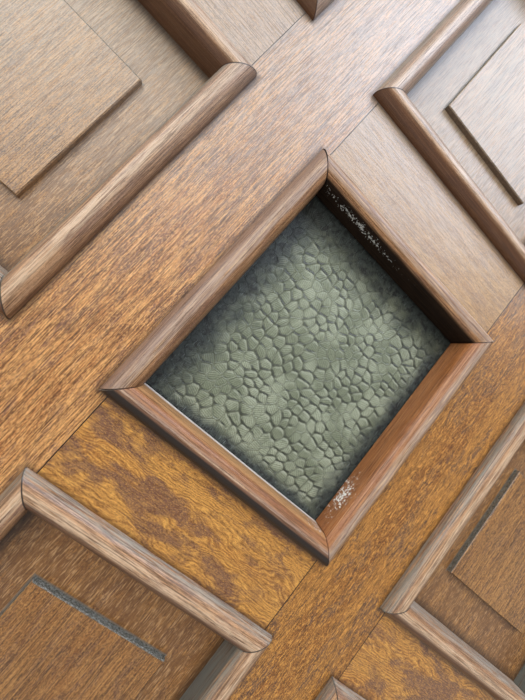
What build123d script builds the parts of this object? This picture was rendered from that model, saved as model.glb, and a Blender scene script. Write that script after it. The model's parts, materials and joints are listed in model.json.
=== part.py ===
from build123d import *
import os

# Panelled oak front door in its own frame, hung to open inwards.
# The row's origin is the middle of the threshold's underside. X runs from the hinges to the lock,
# Y from the street side to the hall side, Z up. All sizes are in millimetres.

# Grid of the leaf: equal openings in columns and rows, counted from the hinge side and from the top
COLUMNS = 3
ROWS = 6
WINDOW_COLUMN = 1
WINDOW_ROW = 1
OPENING_W = 195.0
OPENING_H = 213.0
MUNTIN_W = 79.0
RAIL_W = 76.0
STILE_W = 110.0
TOP_RAIL_W = 118.0
BOTTOM_RAIL_W = 234.0
LEAF_T = 56.0

# Joinery of the leaf
GROOVE_W = 14.0
GROOVE_D = 12.0
TENON_CORE = 9.0
CORNER_TENON_L = 58.0
HAUNCH_H = 30.0
TENON_SPLIT = 36.0
END_GAP = 1.0
SHOULDER_GAP = 0.3
ARRIS = 0.6

# Raised panels
MARGIN_DEPTH = 13.0
FIELD_RISE = 5.0
FIELD_MARGIN_X = 43.0
FIELD_MARGIN_Z = 51.0
FIELD_BEVEL = 0.8
PANEL_GAP = 1.0
TONGUE_GAP = 2.0

# Bolection mouldings, measured from their outer edge and up from the face that they lap
MOULD_W = 19.0
MOULD_LAP = 7.0
MOULD_PROUD = 10.0
MOULD_CREST = 9.0
MOULD_FOOT = 1.2
MOULD_SHOULDER = 2.5
MOULD_SHOULDER_IN = 1.0
MITRE_GAP = 0.4

# Window
GLASS_T = 5.0
GLASS_DEPTH = 15.0
GLASS_EDGE_GAP = 2.0
TAPE_T = 1.5
TAPE_W = 9.0
BEAD_W = 12.0
BEAD_PROUD = 4.0
BEAD_ROUND = 6.0
SETTING_L = 30.0
SETTING_INSET = 35.0

# Frame
JAMB_T = 58.0
FRAME_DEPTH = 98.0
FRAME_ARRIS = 2.0
REBATE = 14.0
STOP_GAP = 4.0
EDGE_GAP = 3.5
TOP_GAP = 3.5
SILL_GAP = 5.0
SILL_T = 31.0
SILL_FALL = 10.0
JAMB_TENON_T = 20.0
JAMB_TENON_W = 34.0
JAMB_TENON_L = 22.0
FIXING_R = 5.1
FIXING_COUNT = 4
FIXING_LOW = 220.0
FIXING_TOP = 207.5
FIXING_BACK = 41.0
SEAL_GROOVE_W = 3.0
SEAL_GROOVE_D = 6.0
SEAL_INSET = 6.0
SEAL_LIP_W = 8.0
SEAL_CLEAR = 0.3

# Hinges
HINGE_H = 100.0
HINGE_PLATE_T = 3.0
HINGE_PLATE_W = 32.0
KNUCKLE_R = 7.0
KNUCKLES = 5
KNUCKLE_GAP = 0.3
PIN_R = 3.5
RUN_GAP = 0.05
PIN_HEAD_R = 5.0
PIN_HEAD_H = 6.0
PIN_HEAD_ROUND = 3.0
HINGE_TOP_INSET = 230.0
HINGE_BOTTOM_INSET = 260.0
HINGE_SCREW_PITCH = 24.0
HINGE_SCREW_STAGGER = 6.0
HINGE_SCREW_COUNT = 4

# Screws
SCREW_R = 2.4
SCREW_HEAD_R = 4.6
SCREW_HEAD_H = 2.4
SCREW_L = 30.0
SCREW_SLOT_W = 1.1
SCREW_SLOT_D = 1.0

# Lock
SPINDLE_UP = 979.0
BACKSET = 55.0
CYLINDER_DROP = 92.0
CASE_WALL = 1.5
CASE_CLEAR = 0.5
CASE_BEHIND = 30.0
CASE_OVER = 16.0
CASE_UNDER = 3.5
POCKET_GAP = 0.5
FOREND_T = 3.0
FOREND_W = 24.0
FOREND_END = 24.0
FOREND_SCREW_INSET = 9.0
FOLLOWER_R = 13.0
FOLLOWER_BOSS_R = 9.0
FOLLOWER_ARM_L = 24.0
FOLLOWER_ARM_W = 8.0
FOLLOWER_ARM_T = 6.0
SPINDLE_SIDE = 8.0
LATCH_H = 18.0
LATCH_OUT = 12.0
LATCH_NOSE = 1.0
LATCH_IN = 22.0
BOLT_H = 29.0
BOLT_T = 11.0
BOLT_DROP = 58.0
BOLT_THROW = 20.0
BOLT_L = 38.0
SLIDE_GAP = 0.15

# Profile cylinder
PLUG_R = 6.5
CYLINDER_R = 8.5
CYLINDER_WEB_W = 10.0
CYLINDER_H = 33.0
CYLINDER_PROUD = 2.0
BORE_GAP = 0.3
CAM_R = 14.5
CAM_RING_R = 8.0
CAM_T = 9.0
CAM_W = 8.0
CAM_GAP = 0.5
CAM_CLEAR = 3.0
KEYWAY_W = 1.6
KEYWAY_H = 8.5
KEYWAY_D = 14.0
TURN_NECK_R = 7.5
TURN_NECK_L = 7.0
TURN_W = 24.0
TURN_H = 10.0
TURN_L = 15.0
TURN_ROUND = 2.0

# Handles
PLATE_W = 40.0
PLATE_T = 6.0
PLATE_BOLT_OVER = 12.0
PLATE_BOLT_UNDER = 16.0
PLATE_ROUND = 8.0
PLATE_BEVEL = 1.5
PLATE_BOLT_INSET = 14.0
PLATE_BOLT_R = 2.5
PLATE_BOLT_HEAD_R = 4.5
PLATE_BOLT_HEAD_H = 2.5
PLATE_BOLT_ROUND = 1.2
PLATE_BOLT_GRIP = 3.0
NECK_R = 9.0
COLLAR_R = 12.0
COLLAR_H = 5.0
LEVER_REACH = 46.0
LEVER_L = 125.0
LEVER_H = 19.0
LEVER_T = 12.0
LEVER_ROUND = 5.0
SOCKET_D = 30.0

# Strike
STRIKE_T = 3.0
STRIKE_GAP = 1.5
STRIKE_END = 26.0
POCKET_SPARE = 4.0

# Worked out from the sizes above
TENON_L = (MUNTIN_W - TENON_CORE) / 2 - GROOVE_D
LEAF_W = 2 * STILE_W + COLUMNS * OPENING_W + (COLUMNS - 1) * MUNTIN_W
LEAF_H = TOP_RAIL_W + BOTTOM_RAIL_W + ROWS * OPENING_H + (ROWS - 1) * RAIL_W
LEAF_LOW = SILL_T + SILL_GAP
LEAF_HIGH = LEAF_LOW + LEAF_H
LEAF_IN = FRAME_DEPTH / 2
LEAF_OUT = LEAF_IN - LEAF_T
LEAF_MID = (LEAF_IN + LEAF_OUT) / 2
STOP_Y = LEAF_OUT - STOP_GAP
REBATE_X = LEAF_W / 2 + EDGE_GAP
SIGHT_X = REBATE_X - REBATE
OUTER_X = REBATE_X + JAMB_T
SIGHT_LOW = SILL_T + REBATE
REBATE_HIGH = LEAF_HIGH + TOP_GAP
SIGHT_HIGH = REBATE_HIGH - REBATE
FRAME_HIGH = REBATE_HIGH + JAMB_T
HINGE_X = -LEAF_W / 2 - EDGE_GAP / 2
HINGE_Y = LEAF_IN + KNUCKLE_R
LOCK_X = LEAF_W / 2 - BACKSET
SPINDLE_Z = LEAF_LOW + SPINDLE_UP
CYLINDER_Z = SPINDLE_Z - CYLINDER_DROP
BOLT_Z = SPINDLE_Z - BOLT_DROP
CASE_T = BOLT_T + 2 * (CASE_CLEAR + CASE_WALL)
CASE_D = BACKSET - FOREND_T + CASE_BEHIND
CASE_ABOVE = FOLLOWER_ARM_L + CASE_OVER
CASE_BELOW = CYLINDER_DROP + CYLINDER_H - CYLINDER_R + CASE_UNDER


def block(x0, x1, y0, y1, z0, z1):
    """Box between two corners."""
    middle = Pos((x0 + x1) / 2, (y0 + y1) / 2, (z0 + z1) / 2)
    return middle * Box(x1 - x0, y1 - y0, z1 - z0)


def rod_y(x, z, radius, y0, y1):
    """Round bar or bore along Y."""
    return Pos(x, (y0 + y1) / 2, z) * Rot(90, 0, 0) * Cylinder(radius, y1 - y0)


def opening_x(column):
    """Left edge of an opening, seen from the street."""
    return -LEAF_W / 2 + STILE_W + column * (OPENING_W + MUNTIN_W)


def opening_z(row):
    """Lower edge of an opening."""
    return LEAF_HIGH - TOP_RAIL_W - (row + 1) * OPENING_H - row * RAIL_W


def groove(x0, x1, z0, z1):
    """Panel groove of the leaf, in the middle of its thickness."""
    return block(x0, x1, LEAF_MID - GROOVE_W / 2, LEAF_MID + GROOVE_W / 2, z0, z1)


def is_window(column, row):
    return column == WINDOW_COLUMN and row == WINDOW_ROW


# Tenons, as spans of height and length. Mortises are the same shapes with an end gap.

def rail_tenons(z0, z1):
    """Tenon of a cross rail between its own grooves: (low, high, length)."""
    return [(z0 + GROOVE_D, z1 - GROOVE_D, GROOVE_D + TENON_L)]


def top_rail_tenons():
    low = LEAF_HIGH - TOP_RAIL_W + GROOVE_D
    return [(low, LEAF_HIGH - HAUNCH_H, GROOVE_D + CORNER_TENON_L), (low, LEAF_HIGH, GROOVE_D)]


def bottom_rail_tenons():
    """Haunch over the whole height and two deep tenons, one above the other."""
    high = LEAF_LOW + BOTTOM_RAIL_W - GROOVE_D
    middle = (LEAF_LOW + HAUNCH_H + high) / 2
    deep = GROOVE_D + CORNER_TENON_L
    return [(LEAF_LOW, high, GROOVE_D),
            (LEAF_LOW + HAUNCH_H, middle - TENON_SPLIT / 2, deep),
            (middle + TENON_SPLIT / 2, high, deep)]


def side_tenons(x, direction, spans, end_gap):
    """Tenons or mortises that leave the shoulder at x in the given X direction."""
    shapes = []
    for low, high, length in spans:
        end = x + direction * (length + end_gap)
        shapes.append(groove(min(x, end), max(x, end), low, high))
    return shapes


def cross_rail_spans():
    """Lower and upper edges of the cross rails, from the top down."""
    return [(opening_z(row) - RAIL_W, opening_z(row)) for row in range(ROWS - 1)]


def all_rail_tenons():
    """Tenons that one side of a stile receives."""
    spans = top_rail_tenons() + bottom_rail_tenons()
    for low, high in cross_rail_spans():
        spans += rail_tenons(low, high)
    return spans


def horizontal_rail(x0, x1, z0, z1, spans, grooves):
    """Rail between two uprights, with tenons at both ends and grooves in the edges named."""
    rail = block(x0 + SHOULDER_GAP, x1 - SHOULDER_GAP, LEAF_OUT, LEAF_IN, z0, z1)
    for tenon in side_tenons(x0 + SHOULDER_GAP, -1, spans, -SHOULDER_GAP):
        rail += tenon
    for tenon in side_tenons(x1 - SHOULDER_GAP, 1, spans, -SHOULDER_GAP):
        rail += tenon
    reach = CORNER_TENON_L + GROOVE_D
    if "low" in grooves:
        rail -= groove(x0 - reach, x1 + reach, z0, z0 + GROOVE_D)
    if "high" in grooves:
        rail -= groove(x0 - reach, x1 + reach, z1 - GROOVE_D, z1)
    return rail


def muntin_x(index):
    """Left edge of an upright between two columns."""
    return opening_x(index) + OPENING_W


def muntin_tenon(index, low, high):
    """Tenon of a muntin in the groove and mortise of the top or bottom rail."""
    x0 = muntin_x(index)
    return groove(x0 + GROOVE_D, x0 + MUNTIN_W - GROOVE_D, low, high)


def muntin(index):
    """Upright between two columns, running through from the bottom rail to the top rail."""
    x0 = muntin_x(index)
    x1 = x0 + MUNTIN_W
    z0 = LEAF_LOW + BOTTOM_RAIL_W
    z1 = LEAF_HIGH - TOP_RAIL_W
    length = GROOVE_D + TENON_L
    upright = block(x0, x1, LEAF_OUT, LEAF_IN, z0 + SHOULDER_GAP, z1 - SHOULDER_GAP)
    upright += muntin_tenon(index, z0 - length, z0 + SHOULDER_GAP)
    upright += muntin_tenon(index, z1 - SHOULDER_GAP, z1 + length)
    upright -= groove(x0, x0 + GROOVE_D, z0, z1)
    upright -= groove(x1 - GROOVE_D, x1, z0, z1)
    for low, high in cross_rail_spans():
        spans = rail_tenons(low, high)
        for mortise in side_tenons(x0, 1, spans, END_GAP) + side_tenons(x1, -1, spans, END_GAP):
            upright -= mortise
    return upright


def top_rail():
    z0 = LEAF_HIGH - TOP_RAIL_W
    x0 = -LEAF_W / 2 + STILE_W
    rail = horizontal_rail(x0, -x0, z0, LEAF_HIGH, top_rail_tenons(), ["low"])
    for index in range(COLUMNS - 1):
        rail -= muntin_tenon(index, z0, z0 + GROOVE_D + TENON_L + END_GAP)
    return rail


def bottom_rail():
    z1 = LEAF_LOW + BOTTOM_RAIL_W
    x0 = -LEAF_W / 2 + STILE_W
    rail = horizontal_rail(x0, -x0, LEAF_LOW, z1, bottom_rail_tenons(), ["high"])
    for index in range(COLUMNS - 1):
        rail -= muntin_tenon(index, z1 - GROOVE_D - TENON_L - END_GAP, z1)
    return rail


def cross_rails(row):
    """Short rails under one row of openings, one in each column, cut where the lock lies."""
    z1 = opening_z(row)
    z0 = z1 - RAIL_W
    rails = []
    for column in range(COLUMNS):
        x0 = opening_x(column)
        rail = horizontal_rail(x0, x0 + OPENING_W, z0, z1, rail_tenons(z0, z1), ["low", "high"])
        rails.append(rail - lock_pocket())
    return rails


def blank_stile(side):
    """Stile with its groove and mortises: side is -1 at the hinges and 1 at the lock."""
    outer = side * LEAF_W / 2
    inner = side * (LEAF_W / 2 - STILE_W)
    stile = block(min(outer, inner), max(outer, inner), LEAF_OUT, LEAF_IN, LEAF_LOW, LEAF_HIGH)
    edge = [edge for edge in stile.edges().filter_by(Axis.Z)
            if abs(edge.center().X - outer) < GROOVE_D]
    stile = fillet(edge, ARRIS)
    for mortise in side_tenons(inner, side, all_rail_tenons(), END_GAP):
        stile -= mortise
    deep = inner + side * GROOVE_D
    stile -= groove(min(inner, deep), max(inner, deep), LEAF_LOW, LEAF_HIGH)
    return stile


def panel():
    """Raised and fielded panel, with a tongue round it, at the foot of its opening."""
    half = LEAF_T / 2 - MARGIN_DEPTH
    tongue = GROOVE_D - TONGUE_GAP
    solid = block(PANEL_GAP, OPENING_W - PANEL_GAP, LEAF_MID - half, LEAF_MID + half,
                  PANEL_GAP, OPENING_H - PANEL_GAP)
    solid += groove(-tongue, OPENING_W + tongue, -tongue, OPENING_H + tongue)
    for side in (-1, 1):
        low = LEAF_MID + side * half
        high = low + side * FIELD_RISE
        field = block(FIELD_MARGIN_X, OPENING_W - FIELD_MARGIN_X, min(low, high), max(low, high),
                      FIELD_MARGIN_Z, OPENING_H - FIELD_MARGIN_Z)
        rim = field.faces().sort_by(Axis.Y)[0 if side < 0 else -1].edges()
        solid += chamfer(rim, FIELD_BEVEL)
    return solid


def panels(row):
    """Panels of one row, without the window's cell, cut where the lock lies."""
    return [Pos(opening_x(column), 0, opening_z(row)) * panel() - lock_pocket()
            for column in range(COLUMNS) if not is_window(column, row)]


def bolection_face(depth):
    """Section of the bolection: x from its outer edge, y up from the face that it laps."""
    crest = (MOULD_CREST, MOULD_PROUD)
    foot = (0, MOULD_FOOT)
    shoulder = (MOULD_W - MOULD_SHOULDER_IN, MOULD_SHOULDER)
    rise = TangentArc(crest, foot, tangent=(-1, 0))
    fall = TangentArc(crest, shoulder, tangent=(1, 0))
    outline = rise + fall + Polyline(shoulder, (MOULD_W, -depth), (MOULD_LAP, -depth),
                                     (MOULD_LAP, 0), (0, 0), foot)
    return make_face(outline)


def bead_face(depth):
    """Section of the inside moulding and the glazing bead, which fill the edge of the opening."""
    top = BEAD_PROUD
    round_start = (BEAD_W - BEAD_ROUND, top)
    round_end = (BEAD_W, top - BEAD_ROUND)
    outline = Polyline(round_start, (0, top), (0, -depth), (BEAD_W, -depth), round_end)
    return make_face(outline + TangentArc(round_start, round_end, tangent=(1, 0)))


def mitred_length(section, width, length, side):
    """Moulding along +X with its outer edge at Z 0 and both ends mitred. It stands to -Y or +Y."""
    upright = Plane(origin=(0, 0, 0), x_dir=(0, 0, 1), z_dir=(-side, 0, 0))
    bar = extrude(upright * section, -side * length)
    reach = width + MITRE_GAP
    cut = MITRE_GAP / 2
    trapezium = Polyline((cut, 0), (length - cut, 0), (length - cut - reach, reach),
                         (cut + reach, reach), (cut, 0))
    blank = extrude(Plane.XZ * make_face(trapezium), LEAF_T, both=True)
    return bar & blank


def moulding_set(section, width, overlap, face_y, side):
    """The four lengths round an opening whose lower left corner is at X 0, Z 0."""
    wide = OPENING_W + 2 * overlap
    high = OPENING_H + 2 * overlap
    across = mitred_length(section, width, wide, side)
    upright = mitred_length(section, width, high, side)
    bottom = Pos(-overlap, face_y, -overlap) * across
    top = Pos(OPENING_W + overlap, face_y, OPENING_H + overlap) * Rot(0, 180, 0) * across
    left = Pos(-overlap, face_y, OPENING_H + overlap) * Rot(0, 90, 0) * upright
    right = Pos(OPENING_W + overlap, face_y, -overlap) * Rot(0, -90, 0) * upright
    return [bottom, top], [left, right]


def at_cells(pieces, window):
    """Copies of the pieces at the window's cell, or at every other cell."""
    placed = []
    for row in range(ROWS):
        for column in range(COLUMNS):
            if is_window(column, row) == window:
                placed += [Pos(opening_x(column), 0, opening_z(row)) * piece for piece in pieces]
    return placed


def window_x():
    return opening_x(WINDOW_COLUMN)


def window_z():
    return opening_z(WINDOW_ROW)


def window_glass():
    y0 = LEAF_OUT + GLASS_DEPTH
    x0 = window_x()
    z0 = window_z()
    return block(x0 + GLASS_EDGE_GAP, x0 + OPENING_W - GLASS_EDGE_GAP, y0, y0 + GLASS_T,
                 z0 + GLASS_EDGE_GAP, z0 + OPENING_H - GLASS_EDGE_GAP)


def glazing_tapes():
    """Two flat rings of sealing tape, one on each face of the pane."""
    x0 = window_x() + GLASS_EDGE_GAP
    x1 = window_x() + OPENING_W - GLASS_EDGE_GAP
    z0 = window_z() + GLASS_EDGE_GAP
    z1 = window_z() + OPENING_H - GLASS_EDGE_GAP
    rings = []
    for y0 in (LEAF_OUT + GLASS_DEPTH - TAPE_T, LEAF_OUT + GLASS_DEPTH + GLASS_T):
        ring = block(x0, x1, y0, y0 + TAPE_T, z0, z1)
        ring -= block(x0 + TAPE_W, x1 - TAPE_W, y0, y0 + TAPE_T, z0 + TAPE_W, z1 - TAPE_W)
        rings.append(ring)
    return rings


def setting_blocks():
    """Two packers that carry the pane on the rail below it."""
    y0 = LEAF_OUT + GLASS_DEPTH
    z0 = window_z()
    blocks = []
    for x0 in (window_x() + SETTING_INSET, window_x() + OPENING_W - SETTING_INSET - SETTING_L):
        blocks.append(block(x0, x0 + SETTING_L, y0, y0 + GLASS_T, z0, z0 + GLASS_EDGE_GAP))
    return blocks


# Screws lie along X and are driven in the given direction from their head's flat face at x.

def screw_shape(x, y, z, direction, spare=0.0):
    """Countersunk screw, or with some spare its hole."""
    turn = Rot(0, 90 * direction, 0)
    head = Pos(0, 0, SCREW_HEAD_H / 2) * Cone(SCREW_HEAD_R + spare, SCREW_R + spare, SCREW_HEAD_H)
    shank = Pos(0, 0, SCREW_L / 2) * Cylinder(SCREW_R + spare, SCREW_L + 2 * spare)
    return Pos(x, y, z) * turn * (head + shank)


def screw(x, y, z, direction):
    slot = block(-SCREW_SLOT_D, SCREW_SLOT_D, -SCREW_HEAD_R, SCREW_HEAD_R,
                 -SCREW_SLOT_W / 2, SCREW_SLOT_W / 2)
    return screw_shape(x, y, z, direction) - Pos(x, y, z) * slot


def screw_hole(x, y, z, direction):
    return screw_shape(x, y, z, direction, RUN_GAP)


# Hinges

def hinge_heights():
    """Lower ends of the three hinges."""
    low = LEAF_LOW + HINGE_BOTTOM_INSET - HINGE_H / 2
    high = LEAF_HIGH - HINGE_TOP_INSET - HINGE_H / 2
    return {"lower": low, "middle": (low + high) / 2, "upper": high}


def hinge_plate_span(side):
    """X of a plate's face at the gap and of its back: side is -1 on the jamb and 1 on the leaf."""
    face = -REBATE_X if side < 0 else -LEAF_W / 2
    return face, face + side * HINGE_PLATE_T


def hinge_recess(side, z0):
    face, back = hinge_plate_span(side)
    return block(min(face, back), max(face, back), LEAF_IN - HINGE_PLATE_W, LEAF_IN,
                 z0, z0 + HINGE_H)


def hinge_screw_places(side, z0):
    """Heads of the screws of one plate, staggered in two lines."""
    face, _ = hinge_plate_span(side)
    middle_y = LEAF_IN - HINGE_PLATE_W / 2
    places = []
    for index in range(HINGE_SCREW_COUNT):
        stagger = HINGE_SCREW_STAGGER if index % 2 else -HINGE_SCREW_STAGGER
        z = z0 + HINGE_H / 2 + (index - (HINGE_SCREW_COUNT - 1) / 2) * HINGE_SCREW_PITCH
        places.append((face, middle_y + stagger, z, side))
    return places


def hinge_half(side, z0):
    """Plate and knuckles of one side. The jamb's half has the first, third and fifth knuckle."""
    face, back = hinge_plate_span(side)
    x0, x1 = min(face, back), max(face, back)
    half = hinge_recess(side, z0) - block(x0, x1, LEAF_IN - KNUCKLE_GAP, LEAF_IN, z0, z0 + HINGE_H)
    pitch = HINGE_H / KNUCKLES
    for index in range(KNUCKLES):
        if (index % 2 == 0) == (side < 0):
            low = z0 + index * pitch + KNUCKLE_GAP / 2
            high = low + pitch - KNUCKLE_GAP
            half += block(x0, x1, LEAF_IN - KNUCKLE_GAP, HINGE_Y, low, high)
            half += Pos(HINGE_X, HINGE_Y, (low + high) / 2) * Cylinder(KNUCKLE_R, high - low)
    half -= Pos(HINGE_X, HINGE_Y, z0 + HINGE_H / 2) * Cylinder(PIN_R + RUN_GAP, 2 * HINGE_H)
    for place in hinge_screw_places(side, z0):
        half -= screw_hole(*place)
    return half


def hinge_pin(z0):
    """Loose pin with a rounded head on top of the knuckles."""
    shank = Pos(HINGE_X, HINGE_Y, z0 + HINGE_H / 2) * Cylinder(PIN_R, HINGE_H - KNUCKLE_GAP)
    foot = z0 + HINGE_H - KNUCKLE_GAP / 2
    head = Pos(HINGE_X, HINGE_Y, foot + PIN_HEAD_H / 2) * Cylinder(PIN_HEAD_R, PIN_HEAD_H)
    rim = head.edges().filter_by(GeomType.CIRCLE).sort_by(Axis.Z)[-1]
    return shank + fillet(rim, PIN_HEAD_ROUND)


def hinge_screws(side):
    return [screw(*place) for z0 in hinge_heights().values()
            for place in hinge_screw_places(side, z0)]


def hinge_stile():
    stile = blank_stile(-1)
    for z0 in hinge_heights().values():
        stile -= hinge_recess(1, z0)
        for place in hinge_screw_places(1, z0):
            stile -= screw_hole(*place)
    return stile


# Lock

def case_span():
    """X and Z of the lock case behind its forend."""
    front = LEAF_W / 2 - FOREND_T
    return front - CASE_D, front, SPINDLE_Z - CASE_BELOW, SPINDLE_Z + CASE_ABOVE


def euro_face(spare):
    """Section of the profile cylinder round the plug's axis."""
    half = CYLINDER_WEB_W / 2 + spare
    low = CYLINDER_R - CYLINDER_H + CYLINDER_WEB_W / 2
    web = Pos(0, low / 2) * Rectangle(2 * half, -low)
    return Circle(CYLINDER_R + spare) + web + Pos(0, low) * Circle(half)


def euro_bar(y0, y1, spare=0.0):
    """Profile cylinder's shape between two depths, or with some spare its hole."""
    bar = extrude(Plane(origin=(0, 0, 0), x_dir=(1, 0, 0), z_dir=(0, -1, 0)) * euro_face(spare),
                  -(y1 - y0))
    return Pos(LOCK_X, y0, CYLINDER_Z) * bar


def forend_outline(spare=0.0):
    """Flat bar in the leaf's edge that carries the lock case."""
    _, _, z0, z1 = case_span()
    return block(LEAF_W / 2 - FOREND_T, LEAF_W / 2, LEAF_MID - FOREND_W / 2 - spare,
                 LEAF_MID + FOREND_W / 2 + spare, z0 - FOREND_END - spare, z1 + FOREND_END + spare)


def forend_screw_places():
    _, _, z0, z1 = case_span()
    return [(LEAF_W / 2, LEAF_MID, z, -1)
            for z in (z0 - FOREND_END + FOREND_SCREW_INSET, z1 + FOREND_END - FOREND_SCREW_INSET)]


def latch_window(x0, x1, spare):
    return block(x0, x1, LEAF_MID - BOLT_T / 2 - spare, LEAF_MID + BOLT_T / 2 + spare,
                 SPINDLE_Z - LATCH_H / 2 - spare, SPINDLE_Z + LATCH_H / 2 + spare)


def bolt_window(x0, x1, spare):
    return block(x0, x1, LEAF_MID - BOLT_T / 2 - spare, LEAF_MID + BOLT_T / 2 + spare,
                 BOLT_Z - BOLT_H / 2 - spare, BOLT_Z + BOLT_H / 2 + spare)


def forend():
    bar = forend_outline()
    x0, x1 = LEAF_W / 2 - FOREND_T, LEAF_W / 2
    bar -= latch_window(x0, x1, SLIDE_GAP)
    bar -= bolt_window(x0, x1, SLIDE_GAP)
    for place in forend_screw_places():
        bar -= screw_hole(*place)
    return bar


def lock_case():
    """Steel tray that is open to the hall side, where its cover closes it."""
    x0, x1, z0, z1 = case_span()
    y0 = LEAF_MID - CASE_T / 2
    y1 = LEAF_MID + CASE_T / 2 - CASE_WALL
    tray = block(x0, x1, y0, y1, z0, z1)
    tray -= block(x0 + CASE_WALL, x1 - CASE_WALL, y0 + CASE_WALL, y1, z0 + CASE_WALL, z1 - CASE_WALL)
    tray -= latch_window(x1 - CASE_WALL, x1, SLIDE_GAP)
    tray -= bolt_window(x1 - CASE_WALL, x1, SLIDE_GAP)
    tray -= rod_y(LOCK_X, SPINDLE_Z, FOLLOWER_BOSS_R + RUN_GAP, y0, y0 + CASE_WALL)
    tray -= euro_bar(y0, y0 + CASE_WALL, RUN_GAP)
    return tray


def lock_case_cover():
    x0, x1, z0, z1 = case_span()
    y1 = LEAF_MID + CASE_T / 2
    y0 = y1 - CASE_WALL
    cover = block(x0, x1, y0, y1, z0, z1)
    cover -= rod_y(LOCK_X, SPINDLE_Z, FOLLOWER_BOSS_R + RUN_GAP, y0, y1)
    cover -= euro_bar(y0, y1, RUN_GAP)
    return cover


def follower():
    """Hub that the spindle turns, with the arm that draws the latch back."""
    half = CASE_T / 2 - CASE_WALL - SLIDE_GAP
    hub = rod_y(LOCK_X, SPINDLE_Z, FOLLOWER_R, LEAF_MID - half, LEAF_MID + half)
    hub += rod_y(LOCK_X, SPINDLE_Z, FOLLOWER_BOSS_R, LEAF_MID - CASE_T / 2, LEAF_MID + CASE_T / 2)
    arm = block(LOCK_X - FOLLOWER_ARM_W / 2, LOCK_X + FOLLOWER_ARM_W / 2,
                LEAF_MID - FOLLOWER_ARM_T / 2, LEAF_MID + FOLLOWER_ARM_T / 2,
                SPINDLE_Z, SPINDLE_Z + FOLLOWER_ARM_L)
    return hub + arm - spindle_bar(LEAF_MID - CASE_T / 2, LEAF_MID + CASE_T / 2)


def spindle_bar(y0, y1):
    half = SPINDLE_SIDE / 2
    return block(LOCK_X - half, LOCK_X + half, y0, y1, SPINDLE_Z - half, SPINDLE_Z + half)


def spindle_ends():
    """Y of the spindle's two ends, inside the levers' necks."""
    return LEAF_OUT - SOCKET_D, LEAF_IN + SOCKET_D


def spindle():
    return spindle_bar(*spindle_ends())


def latch_bolt():
    """Spring latch, standing out at rest, bevelled on the side that meets the strike first."""
    x0 = LEAF_W / 2 - FOREND_T - LATCH_IN
    x1 = LEAF_W / 2 + LATCH_OUT
    bolt = latch_window(x0, x1, 0)
    y0 = LEAF_MID - BOLT_T / 2
    foot = x1 - LATCH_OUT + LATCH_NOSE
    bevel = Polyline((foot, y0), (x1, y0), (x1, y0 + BOLT_T - LATCH_NOSE), (foot, y0))
    wedge = extrude(Plane.XY * make_face(bevel), LATCH_H, both=True)
    return bolt - Pos(0, 0, SPINDLE_Z) * wedge


def dead_bolt():
    """Rectangular bolt, drawn back flush with the forend at rest."""
    return bolt_window(LEAF_W / 2 - BOLT_L, LEAF_W / 2, 0)


def lock_pocket():
    """Mortise for the lock case, cut from the leaf's edge."""
    x0, _, z0, z1 = case_span()
    half = CASE_T / 2 + POCKET_GAP
    return block(x0 - POCKET_GAP, LEAF_W / 2, LEAF_MID - half, LEAF_MID + half,
                 z0 - POCKET_GAP, z1 + POCKET_GAP)


def lock_stile():
    stile = blank_stile(1) - lock_pocket()
    stile -= forend_outline()
    for place in forend_screw_places():
        stile -= screw_hole(*place)
    stile -= rod_y(LOCK_X, SPINDLE_Z, NECK_R + BORE_GAP, LEAF_OUT, LEAF_IN)
    stile -= euro_bar(LEAF_OUT, LEAF_IN, BORE_GAP)
    for z in plate_bolt_heights():
        stile -= rod_y(LOCK_X, z, PLATE_BOLT_R + RUN_GAP, LEAF_OUT, LEAF_IN)
    return stile


def cylinder_ends():
    """Y of the profile cylinder's two ends, just proud of the plates."""
    spare = PLATE_T + CYLINDER_PROUD
    return LEAF_OUT - spare, LEAF_IN + spare


def lock_cylinder():
    """Profile cylinder with a slot in its middle for the cam."""
    y0, y1 = cylinder_ends()
    body = euro_bar(y0, y1)
    body -= rod_y(LOCK_X, CYLINDER_Z, PLUG_R + RUN_GAP, y0, y1)
    half = CAM_T / 2 + CAM_GAP
    body -= block(LOCK_X - CYLINDER_H, LOCK_X + CYLINDER_H, LEAF_MID - half, LEAF_MID + half,
                  CYLINDER_Z - CAM_R - CAM_CLEAR, CYLINDER_Z + CYLINDER_H)
    return body


def cylinder_plug():
    """Plug that the key turns, with the keyway outside and the cam in the middle."""
    y0, y1 = cylinder_ends()
    plug = rod_y(LOCK_X, CYLINDER_Z, PLUG_R, y0, y1)
    half = CAM_T / 2
    plug += rod_y(LOCK_X, CYLINDER_Z, CAM_RING_R, LEAF_MID - half, LEAF_MID + half)
    plug += block(LOCK_X - CAM_W / 2, LOCK_X + CAM_W / 2, LEAF_MID - half, LEAF_MID + half,
                  CYLINDER_Z - CAM_R, CYLINDER_Z)
    plug -= block(LOCK_X - KEYWAY_W / 2, LOCK_X + KEYWAY_W / 2, y0, y0 + KEYWAY_D,
                  CYLINDER_Z - KEYWAY_H / 2, CYLINDER_Z + KEYWAY_H / 2)
    return plug


def thumb_turn():
    """Oval turn on the plug's hall end."""
    y0 = cylinder_ends()[1]
    neck = rod_y(LOCK_X, CYLINDER_Z, TURN_NECK_R, y0, y0 + TURN_NECK_L)
    grip = extrude(Plane(origin=(0, 0, 0), x_dir=(0, 0, 1), z_dir=(0, 1, 0))
                   * SlotOverall(TURN_W, TURN_H), TURN_L)
    grip = fillet(grip.faces().sort_by(Axis.Y)[-1].edges(), TURN_ROUND)
    return neck + Pos(LOCK_X, y0 + TURN_NECK_L, CYLINDER_Z) * grip


# Handles: side is -1 on the street side and 1 on the hall side.

def face_y(side):
    return LEAF_OUT if side < 0 else LEAF_IN


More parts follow.
